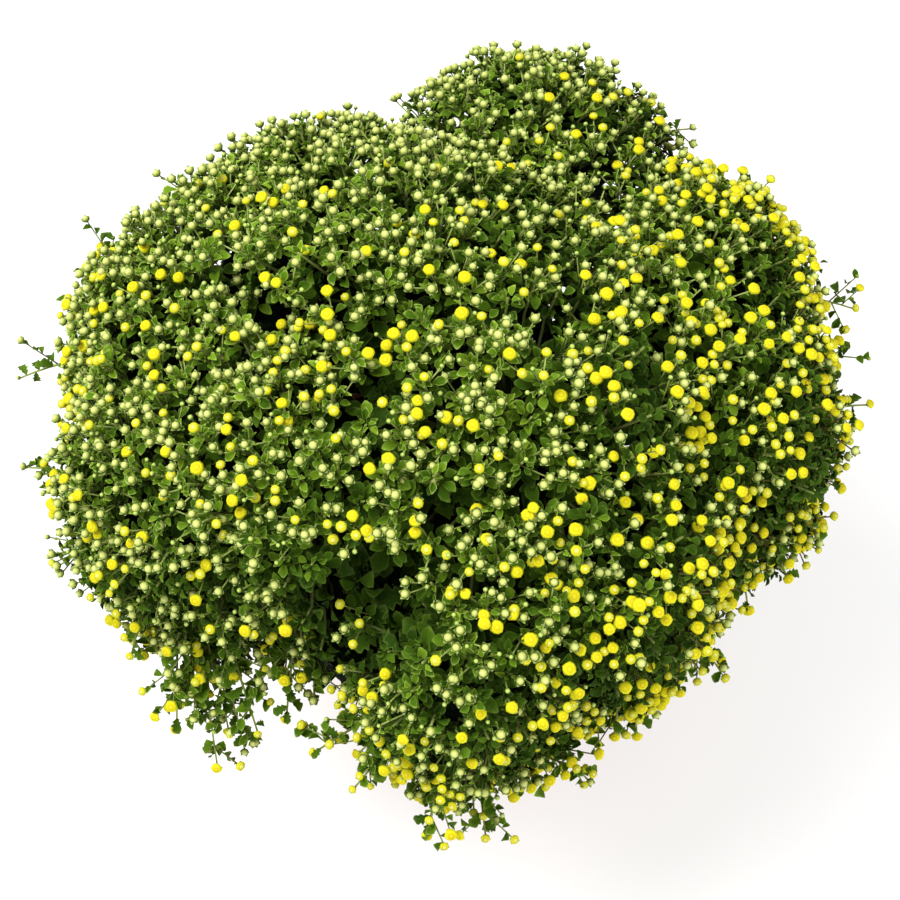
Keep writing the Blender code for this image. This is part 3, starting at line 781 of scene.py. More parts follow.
# %% [markdown]
# ## Growing the shoots
# Each shoot comes up from its mound's heart and carries leaves in a spiral, 137.5 degrees from one to
# the next. The lowest are the largest and spread flat, and the highest are small and stand up round
# the flower stalks. That is what hides the stalks from above and shows them at the flanks.

# %% Shoot stalks and their leaves
GOLDEN = math.radians(137.508)
HEART_SHARE = 0.30
SHOOT_RADIUS = (0.0014, 0.0008)
SHOOT_STOP = 0.006
SHOOT_BEND = 0.5
SHOOT_TONE = (0.3, 0.6)
# how much painted shade darkens a shoot's stalk towards its root
SHOOT_PAINTED_SHADE = 0.8


def side_frame(ways):
    """Return two vectors square to each way and to each other."""
    across = unit(np.cross(ways, unit(rng.normal(size=ways.shape))))
    return across, np.cross(ways, across)


def fan(sides, turns):
    """Return the vectors at the given turns between two square ones."""
    return sides[0] * np.cos(turns)[:, None] + sides[1] * np.sin(turns)[:, None]


def put_leaves(shape, places, along, above, sizes, widths, plants, tones, depths):
    """Add the leaves that keep both their root and their tip off the pot, each with its own roll."""
    good = off_pot(places) & off_pot(places + along * sizes[:, None])
    axes = axes_from(along[good], above[good])
    scale = np.stack((sizes * widths, sizes, sizes), axis=1)[good]
    points = copy_shape(shape, places[good], axes, scale)
    leaves.put(shape, points, plants[good], tones[good], depths[good])


heart = centres[end_mounds] + (ends - centres[end_mounds]) * HEART_SHARE
reach = np.linalg.norm(ends - heart, axis=1)
control = ends - leans * (reach * SHOOT_BEND)[:, None]
low_end, high_end = (np.full(len(ends), radius) for radius in SHOOT_RADIUS)
stalks.put(
    shoot_stalk, bend_stalks(shoot_stalk, heart, control, ends - leans * SHOOT_STOP, low_end, high_end),
    shoot_plants, rng.uniform(*SHOOT_TONE, len(ends)), np.full(len(ends), SHOOT_PAINTED_SHADE),
)

# shape, how many, depth below the shoot's end, distance off the shoot, length, rise off square
LEAF_KINDS = [
    (tiny, 4, (0.003, 0.012), (0.001, 0.003), (0.0045, 0.0066), (20, 65)),
    (spoon, 9, (0.006, 0.020), (0.001, 0.005), (0.0050, 0.0076), (15, 60)),
    (bract, 7, (0.011, 0.026), (0.002, 0.007), (0.0066, 0.0102), (0, 45)),
    (bract, 2, (0.022, 0.034), (0.002, 0.006), (0.0100, 0.0140), (-10, 25)),
]
CLEFT_LEAVES = (lobed, 6, (0.004, 0.055), (0.001, 0.004), (0.0140, 0.0210), (-10, 35))
LEAF_WIDTHS = (0.85, 1.10)
TURN_ERROR = 0.3
LEAF_ERROR = 0.15
ROLL_ERROR = 0.22
# a leaf this deep is painted as dark as the oldest, as shade, and a higher one on a flank turned from the
# key lamp, or facing right or to the front, is painted darker by a share, as shade
FADE_DEPTH = 0.034
FLANK_SHADE = 0.45
FACING_KEY = 0.95
RIGHT_SHADE = 0.60
FRONT_SHADE = 0.28

sides = side_frame(leans)
turn = rng.uniform(0, math.tau, len(ends))
to_right, to_front = np.clip(normals[:, 0], 0, 1), np.clip(-normals[:, 1], 0, 1)
to_key = normals @ unit(np.array(KEY_PLACE - AIM))
# painted shade for each shoot's flank: turned from the key lamp, facing right, facing the front
painted_shade = FLANK_SHADE * fade(to_key, FACING_KEY, 0) + RIGHT_SHADE * to_right + FRONT_SHADE * to_front


def leaf_spiral(some, shape, count, depths, stalk_lengths, lengths, rises):
    """Put a count of leaves in a spiral down the shoots with the given numbers."""
    end, lean, number = ends[some], leans[some], len(some)
    for step in range(count):
        turn[some] += GOLDEN + rng.uniform(-TURN_ERROR, TURN_ERROR, number)
        depth = depths[0] + (depths[1] - depths[0]) * (step + rng.uniform(0, 1, number)) / count
        out = fan((sides[0][some], sides[1][some]), turn[some])
        rise = np.radians(rng.uniform(*rises, number))[:, None]
        along = unit(out * np.cos(rise) + lean * np.sin(rise) + jitter(number, LEAF_ERROR))
        above = unit(lean * np.cos(rise) - out * np.sin(rise) + jitter(number, ROLL_ERROR))
        put_leaves(
            shape, end - lean * depth[:, None] + out * rng.uniform(*stalk_lengths, number)[:, None],
            along, above, rng.uniform(*lengths, number), rng.uniform(*LEAF_WIDTHS, number),
            shoot_plants[some], rng.uniform(0, 1, number),
            # deeper leaves and those in a cleft are older and also in painted shade, and the flank's
            # painted shade is added
            np.clip((depth + dips[some]) / FADE_DEPTH + painted_shade[some], 0, 1),
        )


for kind in LEAF_KINDS:
    leaf_spiral(np.arange(len(ends)), *kind)
leaf_spiral(np.flatnonzero(deep), *CLEFT_LEAVES)
print(sum(len(batch[1]) for batch in leaves.batches), "leaves on shoots")

# %% [markdown]
# ## Leaves inside the dome
# Behind the shoots' ends the bush isn't empty: older leaves hang there, dark green, and on the shaded
# flanks some have dried to a pale brown. Their dark green is partly painted shade. They close the view
# to the floor between the shoots. They stand in tufts on a second, smaller dome, which sinks with the
# clefts.

# %% Tufts of older leaves
TUFT_GAP = 0.0205
TUFT_THROWS = 1400
TUFT_DEPTH = 0.029
TUFT_SINK = 0.32
TUFT_LIFT = 0.8
TUFT_LEAVES = 5
TUFT_LEAF = (0.009, 0.016)
TUFT_RISE = (-0.2, 0.6)
TUFT_ERROR = 0.45
TUFT_ROLL = 0.35
OLD_WIDTHS = (0.85, 1.05)
LEAF_STALK = 0.003
# where dried leaves hang, and how many of the leaves there are dried
DRY_BELOW = 0.30
DRY_REACH = 0.17
DRY_SHARE = 0.30
# a throw that ends this many times too far out has missed the dome
MISSED = 1.5

dry_spoon = spoon.in_material(1)
tufts, tuft_mounds = on_dome(TUFT_THROWS)
kept = far_apart(tufts, TUFT_GAP)
tufts, tuft_mounds = tufts[kept], tuft_mounds[kept]
# a throw close past another mound's centre can miss, and its tuft then grows inside its own mound
missed = dome_share(tufts) > MISSED
tufts = np.where(missed[:, None], centres[tuft_mounds], tufts)
tuft_normals = dome_normals(tufts)
inward = TUFT_DEPTH + np.array(STOP_SHORT)[tuft_mounds] + TUFT_SINK * dip_at(tufts)
tufts = tufts - tuft_normals * inward[:, None] + lift_at(tufts) * TUFT_LIFT
clear = off_pot(tufts) & off_pot(tufts + tuft_normals * TUFT_DEPTH)
tufts, tuft_normals, tuft_plants = tufts[clear], tuft_normals[clear], grown_by[tuft_mounds[clear]]
count = len(tufts)
print(count, "tufts")
tuft_sides = side_frame(tuft_normals)
tuft_turn = rng.uniform(0, math.tau, count)
for number in range(TUFT_LEAVES):
    tuft_turn = tuft_turn + GOLDEN
    out = fan(tuft_sides, tuft_turn)
    rise = rng.uniform(*TUFT_RISE, count)[:, None]
    along = unit(out + tuft_normals * rise + jitter(count, TUFT_ERROR))
    above = unit(tuft_normals + jitter(count, TUFT_ROLL))
    sizes = rng.uniform(*TUFT_LEAF, count)
    dry = (tufts[:, 2] < DRY_BELOW) & (np.hypot(tufts[:, 0], tufts[:, 1]) > DRY_REACH)
    dry &= rng.uniform(0, 1, count) < DRY_SHARE
    for shape, some in ((spoon, ~dry), (dry_spoon, dry)):
        put_leaves(
            shape, tufts[some] + out[some] * LEAF_STALK, along[some], above[some], sizes[some],
            rng.uniform(*OLD_WIDTHS, some.sum()), tuft_plants[some], rng.uniform(0, 1, some.sum()),
            # full depth: painted as old leaves and as in shade
            np.ones(some.sum()),
        )

# %% [markdown]
# ## Leaves over the pot
# The oldest leaves of all lie low round the stems, over the soil and the rim. Through the deepest gaps
# they are what is seen, never the pot.

# %% Low leaves
LOW_LEAVES = 1200
LOW_REACH = 0.178
LOW_HEIGHT = (0.244, 0.284)
LOW_SIZE = (0.015, 0.022)
LOW_ERROR = (0.5, 0.5, 0.1)
LOW_ROLL = 0.25

turns = rng.uniform(0, math.tau, LOW_LEAVES)
across = LOW_REACH * np.sqrt(rng.uniform(0, 1, LOW_LEAVES))
flat = np.stack((np.cos(turns), np.sin(turns), np.zeros(LOW_LEAVES)), axis=1)
places = flat * across[:, None] + (0, 0, 1) * rng.uniform(*LOW_HEIGHT, LOW_LEAVES)[:, None]
nearest = np.argmin(np.linalg.norm(places[:, None, :2] - centres[:, :2], axis=2), axis=1)
put_leaves(
    spoon, places, unit(flat + jitter(LOW_LEAVES, 1) * LOW_ERROR),
    unit(jitter(LOW_LEAVES, LOW_ROLL) + (0, 0, 1)), rng.uniform(*LOW_SIZE, LOW_LEAVES),
    rng.uniform(*OLD_WIDTHS, LOW_LEAVES), grown_by[nearest], rng.uniform(0, 1, LOW_LEAVES),
    # full depth: painted as old leaves and as in shade
    np.ones(LOW_LEAVES),
)
print(LOW_LEAVES, "low leaves")

# %% [markdown]
# ## Flower stalks and buds
# At its end a shoot branches into a loose flat-topped cluster: the middle bud opens first, and four to
# six more stand round it on stalks that come from a little lower. Most of the bush is still in bud.
# It has opened furthest on its right side and along its lower edge, which had the most sun.

# %% How far the buds are open
BUD_SPREAD = (0.88, 1.12)
# the share that shows yellow on the whole bush, and by how much it is more or less in some parts
YELLOW = 0.065
YELLOW_RIGHT = 0.52
YELLOW_LOW_FRONT = 0.30
YELLOW_BACK = -0.05
YELLOW_NEAR_MIDDLE = 0.20
YELLOW_LEFT = 0.08
MOST_YELLOW = 0.92
OPEN_SHARE = 0.45
BUTTON_SHARE = 0.27
AGE_SPREAD = 0.45
# the middle bud of a cluster is ahead of the others, and those on stray shoots are ahead of all
AHEAD_MIDDLE, AHEAD_ROUND, AHEAD_STRAY, AHEAD_TWIG = 1.25, 0.95, 3.0, 1.6
STAGE_NAMES = list(STAGES)
BUTTON, BALL, OPENING, OPEN = range(4)


def yellow_share(points):
    """Return how much of the bush shows yellow at each point."""
    # each part starts at one place and is full at the next, in metres from the pot's middle
    x, y, z = points.T
    low_front = fade(y, -0.08, -0.18) * fade(z, 0.50, 0.40) * np.clip((x + 0.14) / 0.08, 0.5, 1)
    near_middle = np.exp(-((x + 0.06) ** 2 + (y + 0.07) ** 2) / 0.09 ** 2)
    share = YELLOW + YELLOW_RIGHT * fade(x, 0.03, 0.17) * fade(y, 0.20, 0.12)
    share += YELLOW_LOW_FRONT * low_front + YELLOW_NEAR_MIDDLE * near_middle
    return share + YELLOW_BACK * fade(y, -0.03, 0.09) + YELLOW_LEFT * fade(x, -0.15, -0.21)


def put_buds(places, up, plants, stages):
    """Add a bud of each place's stage, on its stalk's end."""
    for number, name in enumerate(STAGE_NAMES):
        mine = stages == number
        if not mine.any():
            continue
        count = mine.sum()
        sizes = BUD_SIZES[name] * rng.uniform(*BUD_SPREAD, count)
        points = copy_shape(STAGES[name], places[mine], upright_axes(up[mine]), sizes)
        buds.put(STAGES[name], points, plants[mine], rng.uniform(0, 1, count), np.zeros(count))


def choose_stages(points, ahead):
    """Choose each bud's stage, later where the bush is in bloom and on a shoot that is ahead."""
    share = np.clip(yellow_share(points) * ahead, 0, MOST_YELLOW)
    draw = rng.uniform(0, 1, len(points))
    stages = np.where(draw < share * OPEN_SHARE, OPEN, np.where(draw < share, OPENING, BALL))
    young = rng.uniform(0, 1, len(points)) < BUTTON_SHARE
    return np.where(young & (stages == BALL), BUTTON, stages)


print("on the whole", YELLOW, "of the buds show yellow, and", MOST_YELLOW, "at most")

# %% Buds of the shoots
BUDS_A_SHOOT = (5, 5, 6, 7)
# a bud's distance from the shoot's end, sideways and down, in the middle of a cluster and round it
MIDDLE_REACH = (0, 0.003)
MIDDLE_DROP = (-0.003, 0.004)
CLUSTER_REACH = (0.0055, 0.0165)
CLUSTER_DROP = (0.000, 0.005)
CLUSTER_ERROR = 0.5
STALK_START = (0.014, 0.026)
STALK_RADII = (0.00060, 0.00054)
STALK_TONE = (0.55, 1.0)
# how much painted shade darkens a flower stalk or twig towards its root
STALK_PAINTED_SHADE = 0.1
# a stalk's bend stands at these shares of its length, along the shoot and sideways
STALK_BEND = (0.45, 0.55)
STALK_LEAF_CHANCE = 0.80
# the leaves on a stalk: how far up it they stand, and their lengths
STALK_LEAVES = ((0.40, (0.0050, 0.0078)), (0.76, (0.0034, 0.0052)))
STALK_LEAF_RISE = 0.9
STALK_LEAF_WIDTHS = (0.6, 0.9)
STALK_LEAF_TONES = (0.4, 1)
# On a steep flank, where less light falls, fewer shoots bear buds. They are fewer still on the right,
# at the front, and everywhere off the left flank, which ends between two distances from the middle.
LIT_LEVEL = 0.52
LIT_SLOPE = 0.85
LEAST_LIT = 0.34
FEWER_RIGHT = 0.30
FEWER_FRONT = 0.18
FEWER_MIDDLE = 0.10
LEFT_FLANK = (-0.12, -0.04)
# a bud faces the light, and by these shares the way that its stalk and its shoot point
TO_LIGHT = np.array((-0.10, -0.35, 1.0))
BUD_TURN = (0.7, 0.3)


def put_stalks(shape, roots, controls, tips, radii_of_ends, plants, tones, depth):
    """Add stalks of the given end radii, with a tone each and one depth."""
    count = len(tips)
    low, high = (np.full(count, radius) for radius in radii_of_ends)
    points = bend_stalks(shape, roots, controls, tips, low, high)
    stalks.put(shape, points, plants, tones, np.full(count, depth))


lit = np.clip(LIT_LEVEL + LIT_SLOPE * normals[:, 2], 0, 1)
lit -= FEWER_RIGHT * to_right + FEWER_FRONT * to_front + FEWER_MIDDLE * fade(ends[:, 0], *LEFT_FLANK)
lit = np.clip(lit, LEAST_LIT, 1)
bare = deep | (rng.uniform(0, 1, len(ends)) > lit)
budding = np.flatnonzero(~bare)
number_of = rng.choice(BUDS_A_SHOOT, len(budding))
shoot_age = np.exp(rng.normal(size=len(ends)) * AGE_SPREAD)
total = 0
for rank in range(max(BUDS_A_SHOOT)):
    some = number_of > rank
    here = budding[some]
    lean = leans[here]
    angle = turn[here] + rank * math.tau / np.maximum(number_of[some] - 1, 1)
    angle += rng.uniform(-CLUSTER_ERROR, CLUSTER_ERROR, len(here))
    wide = rng.uniform(*(CLUSTER_REACH if rank else MIDDLE_REACH), len(here))
    drop = rng.uniform(*(CLUSTER_DROP if rank else MIDDLE_DROP), len(here))
    out = fan((sides[0][here], sides[1][here]), angle)
    place = ends[here] + out * wide[:, None] - lean * drop[:, None]
    root = ends[here] - lean * (drop + rng.uniform(*STALK_START, len(here)))[:, None]
    reach = np.linalg.norm(place - root, axis=1)
    control = root + lean * (reach * STALK_BEND[0])[:, None] + out * (wide * STALK_BEND[1])[:, None]
    good = off_pot(place)
    place, root, control, here, lean = place[good], root[good], control[good], here[good], lean[good]
    up = unit(unit(place - control) * BUD_TURN[0] + lean * BUD_TURN[1] + TO_LIGHT)
    count = len(place)
    put_stalks(
        thin_stalk, root, control, place, STALK_RADII, shoot_plants[here],
        # painted shade: the tone falls with the flank's painted shade, so stalks there are darker
        rng.uniform(*STALK_TONE, count) * (1 - painted_shade[here]), STALK_PAINTED_SHADE,
    )
    ahead = shoot_age[here] * (AHEAD_ROUND if rank else AHEAD_MIDDLE)
    put_buds(place, up, shoot_plants[here], choose_stages(place, ahead))
    total += count
    for share, (small, large) in STALK_LEAVES:
        some = rng.uniform(0, 1, count) < STALK_LEAF_CHANCE
        side = unit(np.cross(up, rng.normal(size=up.shape)))[some]
        put_leaves(
            tiny, (root + (place - root) * share)[some], unit(side + up[some] * STALK_LEAF_RISE),
            unit(up[some] - side * STALK_LEAF_RISE), rng.uniform(small, large, some.sum()),
            rng.uniform(*STALK_LEAF_WIDTHS, some.sum()), shoot_plants[here][some],
            rng.uniform(*STALK_LEAF_TONES, some.sum()), np.zeros(some.sum()),
        )
print(total, "buds on shoots")

# %% [markdown]
# ## Stray shoots
# Some shoots run past the dome, mostly low at the front, and bend down under their own weight. Those
# of the CAD are here with their tips where they are there, and a few weaker ones hang between them.
# They are thin, brown below, with single lobed leaves and short side twigs that end in buds.

# %% Stray shoots
STRAY_ROOT_SHARE = 0.35
STRAY_BEND = 0.14
STRAY_RADII = (0.0012, 0.0006)
STRAY_TONE = (0.2, 0.55)
# how much painted shade darkens a stray shoot towards its root
STRAY_PAINTED_SHADE = 0.2
# its leaves: their spacing, where along it they start and end, their length at its root and how much
# shorter they are at its tip, and how old they look, with painted shade
STRAY_LEAF_GAP = 0.0062
STRAY_BARE = 0.30
STRAY_END = 0.97
STRAY_LEAF = (0.017, 0.008)
STRAY_LEAF_SPREAD = (0.75, 1.2)
STRAY_LEAF_AGE_AND_SHADE = 0.70
# how a single leaf stands on its twig: along it by a share, upwards by another, and its blade's face
SINGLE_ALONG = 0.5
SINGLE_RISE = (0, 0, 0.15)
SINGLE_FACE = 0.2
SINGLE_ROLL = 0.35
SINGLE_WIDTHS = (0.8, 1.0)
SINGLE_TONES = (0, 0.8)
# room for the bud at the tip
BUD_ROOM = 0.009
# weaker shoots between two neighbours: how far along from one to the other, and how far out
BETWEEN = ((0.35, 0.88), (0.68, 0.70))
NEIGHBOUR_GAP = 0.12
# weaker shoots where no neighbours stand close
LONE_SHOOTS = [
    ("plant_right", 0.197, -0.151, 0.305), ("plant_left_front", -0.104, -0.209, 0.268),
    ("plant_left_front", -0.119, -0.218, 0.262), ("plant_left_front", -0.085, -0.196, 0.273),
    ("plant_left_front", -0.134, -0.190, 0.290), ("plant_left_front", -0.104, -0.187, 0.295),
    ("plant_left_front", -0.158, -0.178, 0.300), ("plant_front", -0.061, -0.231, 0.270),
]
# a stray shoot that ends this high keeps fewer of its leaves and twigs
HIGH_STRAY = 0.315
BARER_SHARE = 0.65


def on_curves(roots, controls, tips, t):
    """Return places and directions at a share of the way along each curve."""
    t = np.reshape(t, (-1, 1))
    places = roots * (1 - t) ** 2 + controls * 2 * t * (1 - t) + tips * t * t
    return places, unit((controls - roots) * (1 - t) + (tips - controls) * t)


def leaf_curves(shape, roots, controls, tips, plants, t, lengths, depth):
    """Put one leaf at a share of the way along each curve."""
    count = len(roots)
    places, ways = on_curves(roots, controls, tips, t)
    out = fan(side_frame(ways), rng.uniform(0, math.tau, count))
    along = unit(out + ways * SINGLE_ALONG + SINGLE_RISE)
    above = unit(np.array((0, 0, 1.0)) + ways * SINGLE_FACE + jitter(count, SINGLE_ROLL))
    put_leaves(
        shape, places, along, above, lengths, rng.uniform(*SINGLE_WIDTHS, count), plants,
        rng.uniform(*SINGLE_TONES, count), np.full(count, depth),
    )


stray_tips, stray_plants = [], []
for number, plant in enumerate(PLANTS):
    tips = [np.array(tip) for tip in STRAYS[plant]]
    stray_tips += tips
    middle = centres[grown_by == number].mean(axis=0)
    for one, other in zip(tips, tips[1:]):
        if np.linalg.norm(one - other) < NEIGHBOUR_GAP:
            stray_tips += [middle + (one + (other - one) * share - middle) * out for share, out in BETWEEN]
    stray_tips += [np.array(place) for name, *place in LONE_SHOOTS if name == plant]
    stray_plants += [number] * (len(stray_tips) - len(stray_plants))
stray_tips, stray_plants = np.array(stray_tips), np.array(stray_plants)
own_mound = stray_plants[:, None] == grown_by
nearest = np.argmin(np.where(own_mound, mound_shares(stray_tips), 9), axis=1)
roots = centres[nearest] + (stray_tips - centres[nearest]) * STRAY_ROOT_SHARE
stray_tips = stray_tips - unit(stray_tips - roots) * BUD_ROOM
length = np.linalg.norm(stray_tips - roots, axis=1)
controls = (roots + stray_tips) / 2 + np.array((0, 0, 1.0)) * (STRAY_BEND * length)[:, None]
count = len(stray_tips)
put_stalks(
    stray_stalk, roots, controls, stray_tips, STRAY_RADII, stray_plants,
    rng.uniform(*STRAY_TONE, count), STRAY_PAINTED_SHADE,
)
for step in range(int(length.max() * (1 - STRAY_BARE) / STRAY_LEAF_GAP)):
    t = STRAY_BARE + (step + rng.uniform(0, 1, count)) * STRAY_LEAF_GAP / length
    on = (stray_tips[:, 2] < HIGH_STRAY) | (rng.uniform(0, 1, count) < BARER_SHARE)
    on &= t < STRAY_END
    lengths = STRAY_LEAF[0] - STRAY_LEAF[1] * t[on]
    leaf_curves(
        lobed, roots[on], controls[on], stray_tips[on], stray_plants[on], t[on],
        lengths * rng.uniform(*STRAY_LEAF_SPREAD, on.sum()), STRAY_LEAF_AGE_AND_SHADE,
    )
print(len(stray_tips), "stray shoots")

# %% Twigs and buds of the stray shoots
TWIGS_A_STRAY = 6
TWIG_PLACE = (0.35, 0.90)
TWIG_OUT = 1.1
TWIG_RISE = (0, 0, 0.2)
TWIG_LENGTH = (0.012, 0.028)
TWIG_BEND = (0, 0, 0.12)
TWIG_RADII = (0.0007, 0.0005)
TWIG_TONE = (0.1, 0.7)
TWIG_LEAVES = 4
TWIG_LEAF = (0.005, 0.010)
TWIG_LEAF_AGE_AND_SHADE = 0.55

twig_roots, twig_ways = [], []
for _ in range(TWIGS_A_STRAY):
    places, ways = on_curves(roots, controls, stray_tips, rng.uniform(*TWIG_PLACE, count))
    out = fan(side_frame(ways), rng.uniform(0, math.tau, count))
    twig_roots.append(places)
    twig_ways.append(unit(ways + out * TWIG_OUT + TWIG_RISE))
twig_roots, twig_ways = np.concatenate(twig_roots), np.concatenate(twig_ways)
twig_plants = np.tile(stray_plants, TWIGS_A_STRAY)
count = len(twig_roots)
twig_length = rng.uniform(*TWIG_LENGTH, count)[:, None]
twig_tips = twig_roots + twig_ways * twig_length
low = np.tile(stray_tips[:, 2] < HIGH_STRAY, TWIGS_A_STRAY)
clear = off_pot(twig_tips) & (low | (rng.uniform(0, 1, count) < BARER_SHARE))
twig_roots, twig_ways, twig_tips = twig_roots[clear], twig_ways[clear], twig_tips[clear]
twig_plants, twig_length = twig_plants[clear], twig_length[clear]
count = len(twig_roots)
twig_controls = (twig_roots + twig_tips) / 2 + np.array(TWIG_BEND) * twig_length
put_stalks(
    thin_stalk, twig_roots, twig_controls, twig_tips, TWIG_RADII, twig_plants,
    rng.uniform(*TWIG_TONE, count), STALK_PAINTED_SHADE,
)
for number in range(TWIG_LEAVES):
    leaf_curves(
        spoon, twig_roots, twig_controls, twig_tips, twig_plants,
        (number + rng.uniform(0.1, 0.9, count)) / TWIG_LEAVES, rng.uniform(*TWIG_LEAF, count),
        TWIG_LEAF_AGE_AND_SHADE,
    )
bud_places = np.concatenate((stray_tips, twig_tips))
bud_ways = np.concatenate((unit(stray_tips - controls), twig_ways))
bud_plants = np.concatenate((stray_plants, twig_plants))
ahead = np.where(np.arange(len(bud_places)) < len(stray_tips), AHEAD_STRAY, AHEAD_TWIG)
bud_up = unit(bud_ways * BUD_TURN[0] + TO_LIGHT)
put_buds(bud_places, bud_up, bud_plants, choose_stages(bud_places, ahead))
print(len(twig_tips), "twigs")

# %% [markdown]
# ## Woody stems
# Each plant stands in the soil on one stem that forks low and sends a branch to each mound. They are
# the CAD's stems, rounder. From the side they show between the rim and the leaves.

# %% Stems and branches
SOIL_TOP = 0.202
STEM_SET = 0.028
COLLAR_RISE = 0.015
HOLE_RING = 0.058
STEM_RADII = (0.0060, 0.0042)
BRANCH_RADII = (0.00378, 0.00252)
FORK_HEIGHT = 0.285
FORK_SHARE = 0.42
FORK_DEPTH = 0.15
BRANCH_SAG = 0.012

for number, plant in enumerate(PLANTS):
    own = centres[grown_by == number]
    middle = own[:, :2].mean(axis=0)
    across = np.hypot(*middle)
    stand = np.zeros(2) if across < HOLE_RING else middle / across * HOLE_RING
    foot = np.array((*stand, SOIL_TOP - STEM_SET))
    fork = np.array((*(stand + (middle - stand) * FORK_SHARE), FORK_HEIGHT))
    collar = np.array((*stand, SOIL_TOP + COLLAR_RISE))
    roots = np.array([foot] + [fork + (collar - fork) * FORK_DEPTH] * len(own))
    controls = np.array([collar] + [(fork + centre) / 2 - (0, 0, BRANCH_SAG) for centre in own])
    tips = np.array([fork] + list(own))
    low, high = (np.array([stem] + [branch] * len(own)) for stem, branch in zip(STEM_RADII, BRANCH_RADII))
    stalks.put(
        woody_stem, bend_stalks(woody_stem, roots, controls, tips, low, high),
        # tone 0 is wood, and full depth paints the stems darker towards their foot, as shade
        np.full(len(tips), number), np.zeros(len(tips)), np.ones(len(tips)),
    )
print(len(PLANTS), "stems and", len(centres), "branches")

# %% [markdown]
# ## The heart of each mound
# Inside a dense bush it is dark: a tangle of bare twigs and old leaves that no light reaches. A lumpy
# core, near black as painted shade, stands for it, well behind the leaves. It starts as one sphere for
# each mound and for each place where mounds meet, is joined by a voxel remesh, and is roughened so
# that nothing smooth shows.

# %% Hearts
CORE_SHARE = 0.55
CORE_HANG = 1.55
CORE_SIDES = 32
CORE_RINGS = 20
VOXEL = 0.009
LUMP_SIZE = 0.02
LUMP_HEIGHT = 0.016
# two mounds that stand close are joined inside by a ball half way, a little lower
JOIN_GAP = 0.126
JOIN_SHARE = 0.42
JOIN_DROP = 0.026
# and where several stand in a ring, one more ball fills the middle
RING_BALLS = {
    "plant_back": [(0.040, 0.098, 0.370, 0.036)],
    "plant_left_back": [(-0.115, -0.025, 0.378, 0.048)],
    "plant_left_front": [(-0.058, -0.160, 0.300, 0.026)],
    "plant_middle": [(0.100, 0.000, 0.372, 0.042), (0.112, -0.098, 0.362, 0.036)],
}


def joining_balls(plant):
    """Return the place and radius of each ball that joins a plant's mounds to others."""
    found = []
    for one in np.flatnonzero(grown_by == PLANTS.index(plant)):
        for other in range(one + 1, len(centres)):
            if np.linalg.norm(centres[one] - centres[other]) < JOIN_GAP:
                x, y, z = (centres[one] + centres[other]) / 2
                found.append((x, y, z - JOIN_DROP, JOIN_SHARE * (radii[one] + radii[other]) / 2))
    return found


def make_heart(plant):
    """Make one plant's dark core from a sphere for each of its mounds and joints."""
    balls = []
    cores = [(x, y, z, radius * CORE_SHARE) for x, y, z, radius in MOUNDS[plant]]
    for x, y, z, radius in cores + joining_balls(plant) + RING_BALLS.get(plant, []):
        ball = start(
            bpy.ops.mesh.primitive_uv_sphere_add, segments=CORE_SIDES, ring_count=CORE_RINGS, radius=radius,
            location=(x, y, z),
        )
        pick(ball, lambda place: place.z < 0)
        bpy.ops.transform.resize(value=(1, 1, CORE_HANG), center_override=(x, y, z))
        bpy.ops.object.mode_set(mode="OBJECT")
        balls.append(ball)
    for ball in balls:
        ball.select_set(True)
    if len(balls) > 1:
        bpy.ops.object.join()
    heart = bpy.context.object
    heart.name = plant + "_heart"
    bpy.ops.object.transform_apply(location=True, rotation=True, scale=True)
    remesh = heart.modifiers.new("one_skin", "REMESH")
    remesh.mode = "VOXEL"
    remesh.voxel_size = VOXEL
    bpy.ops.object.modifier_apply(modifier=remesh.name)
    lumps = bpy.data.textures.new(plant + "_twigs", "CLOUDS")
    lumps.noise_scale = LUMP_SIZE
    rough = heart.modifiers.new("twigs", "DISPLACE")
    rough.texture = lumps
    rough.texture_coords = "LOCAL"
    rough.strength = LUMP_HEIGHT
    bpy.ops.object.modifier_apply(modifier=rough.name)
    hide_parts(plant)
    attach(heart, "root")
    print(heart.name, 2 * len(heart.data.polygons), "triangles")
    return heart


hearts = {plant: make_heart(plant) for plant in PLANTS}
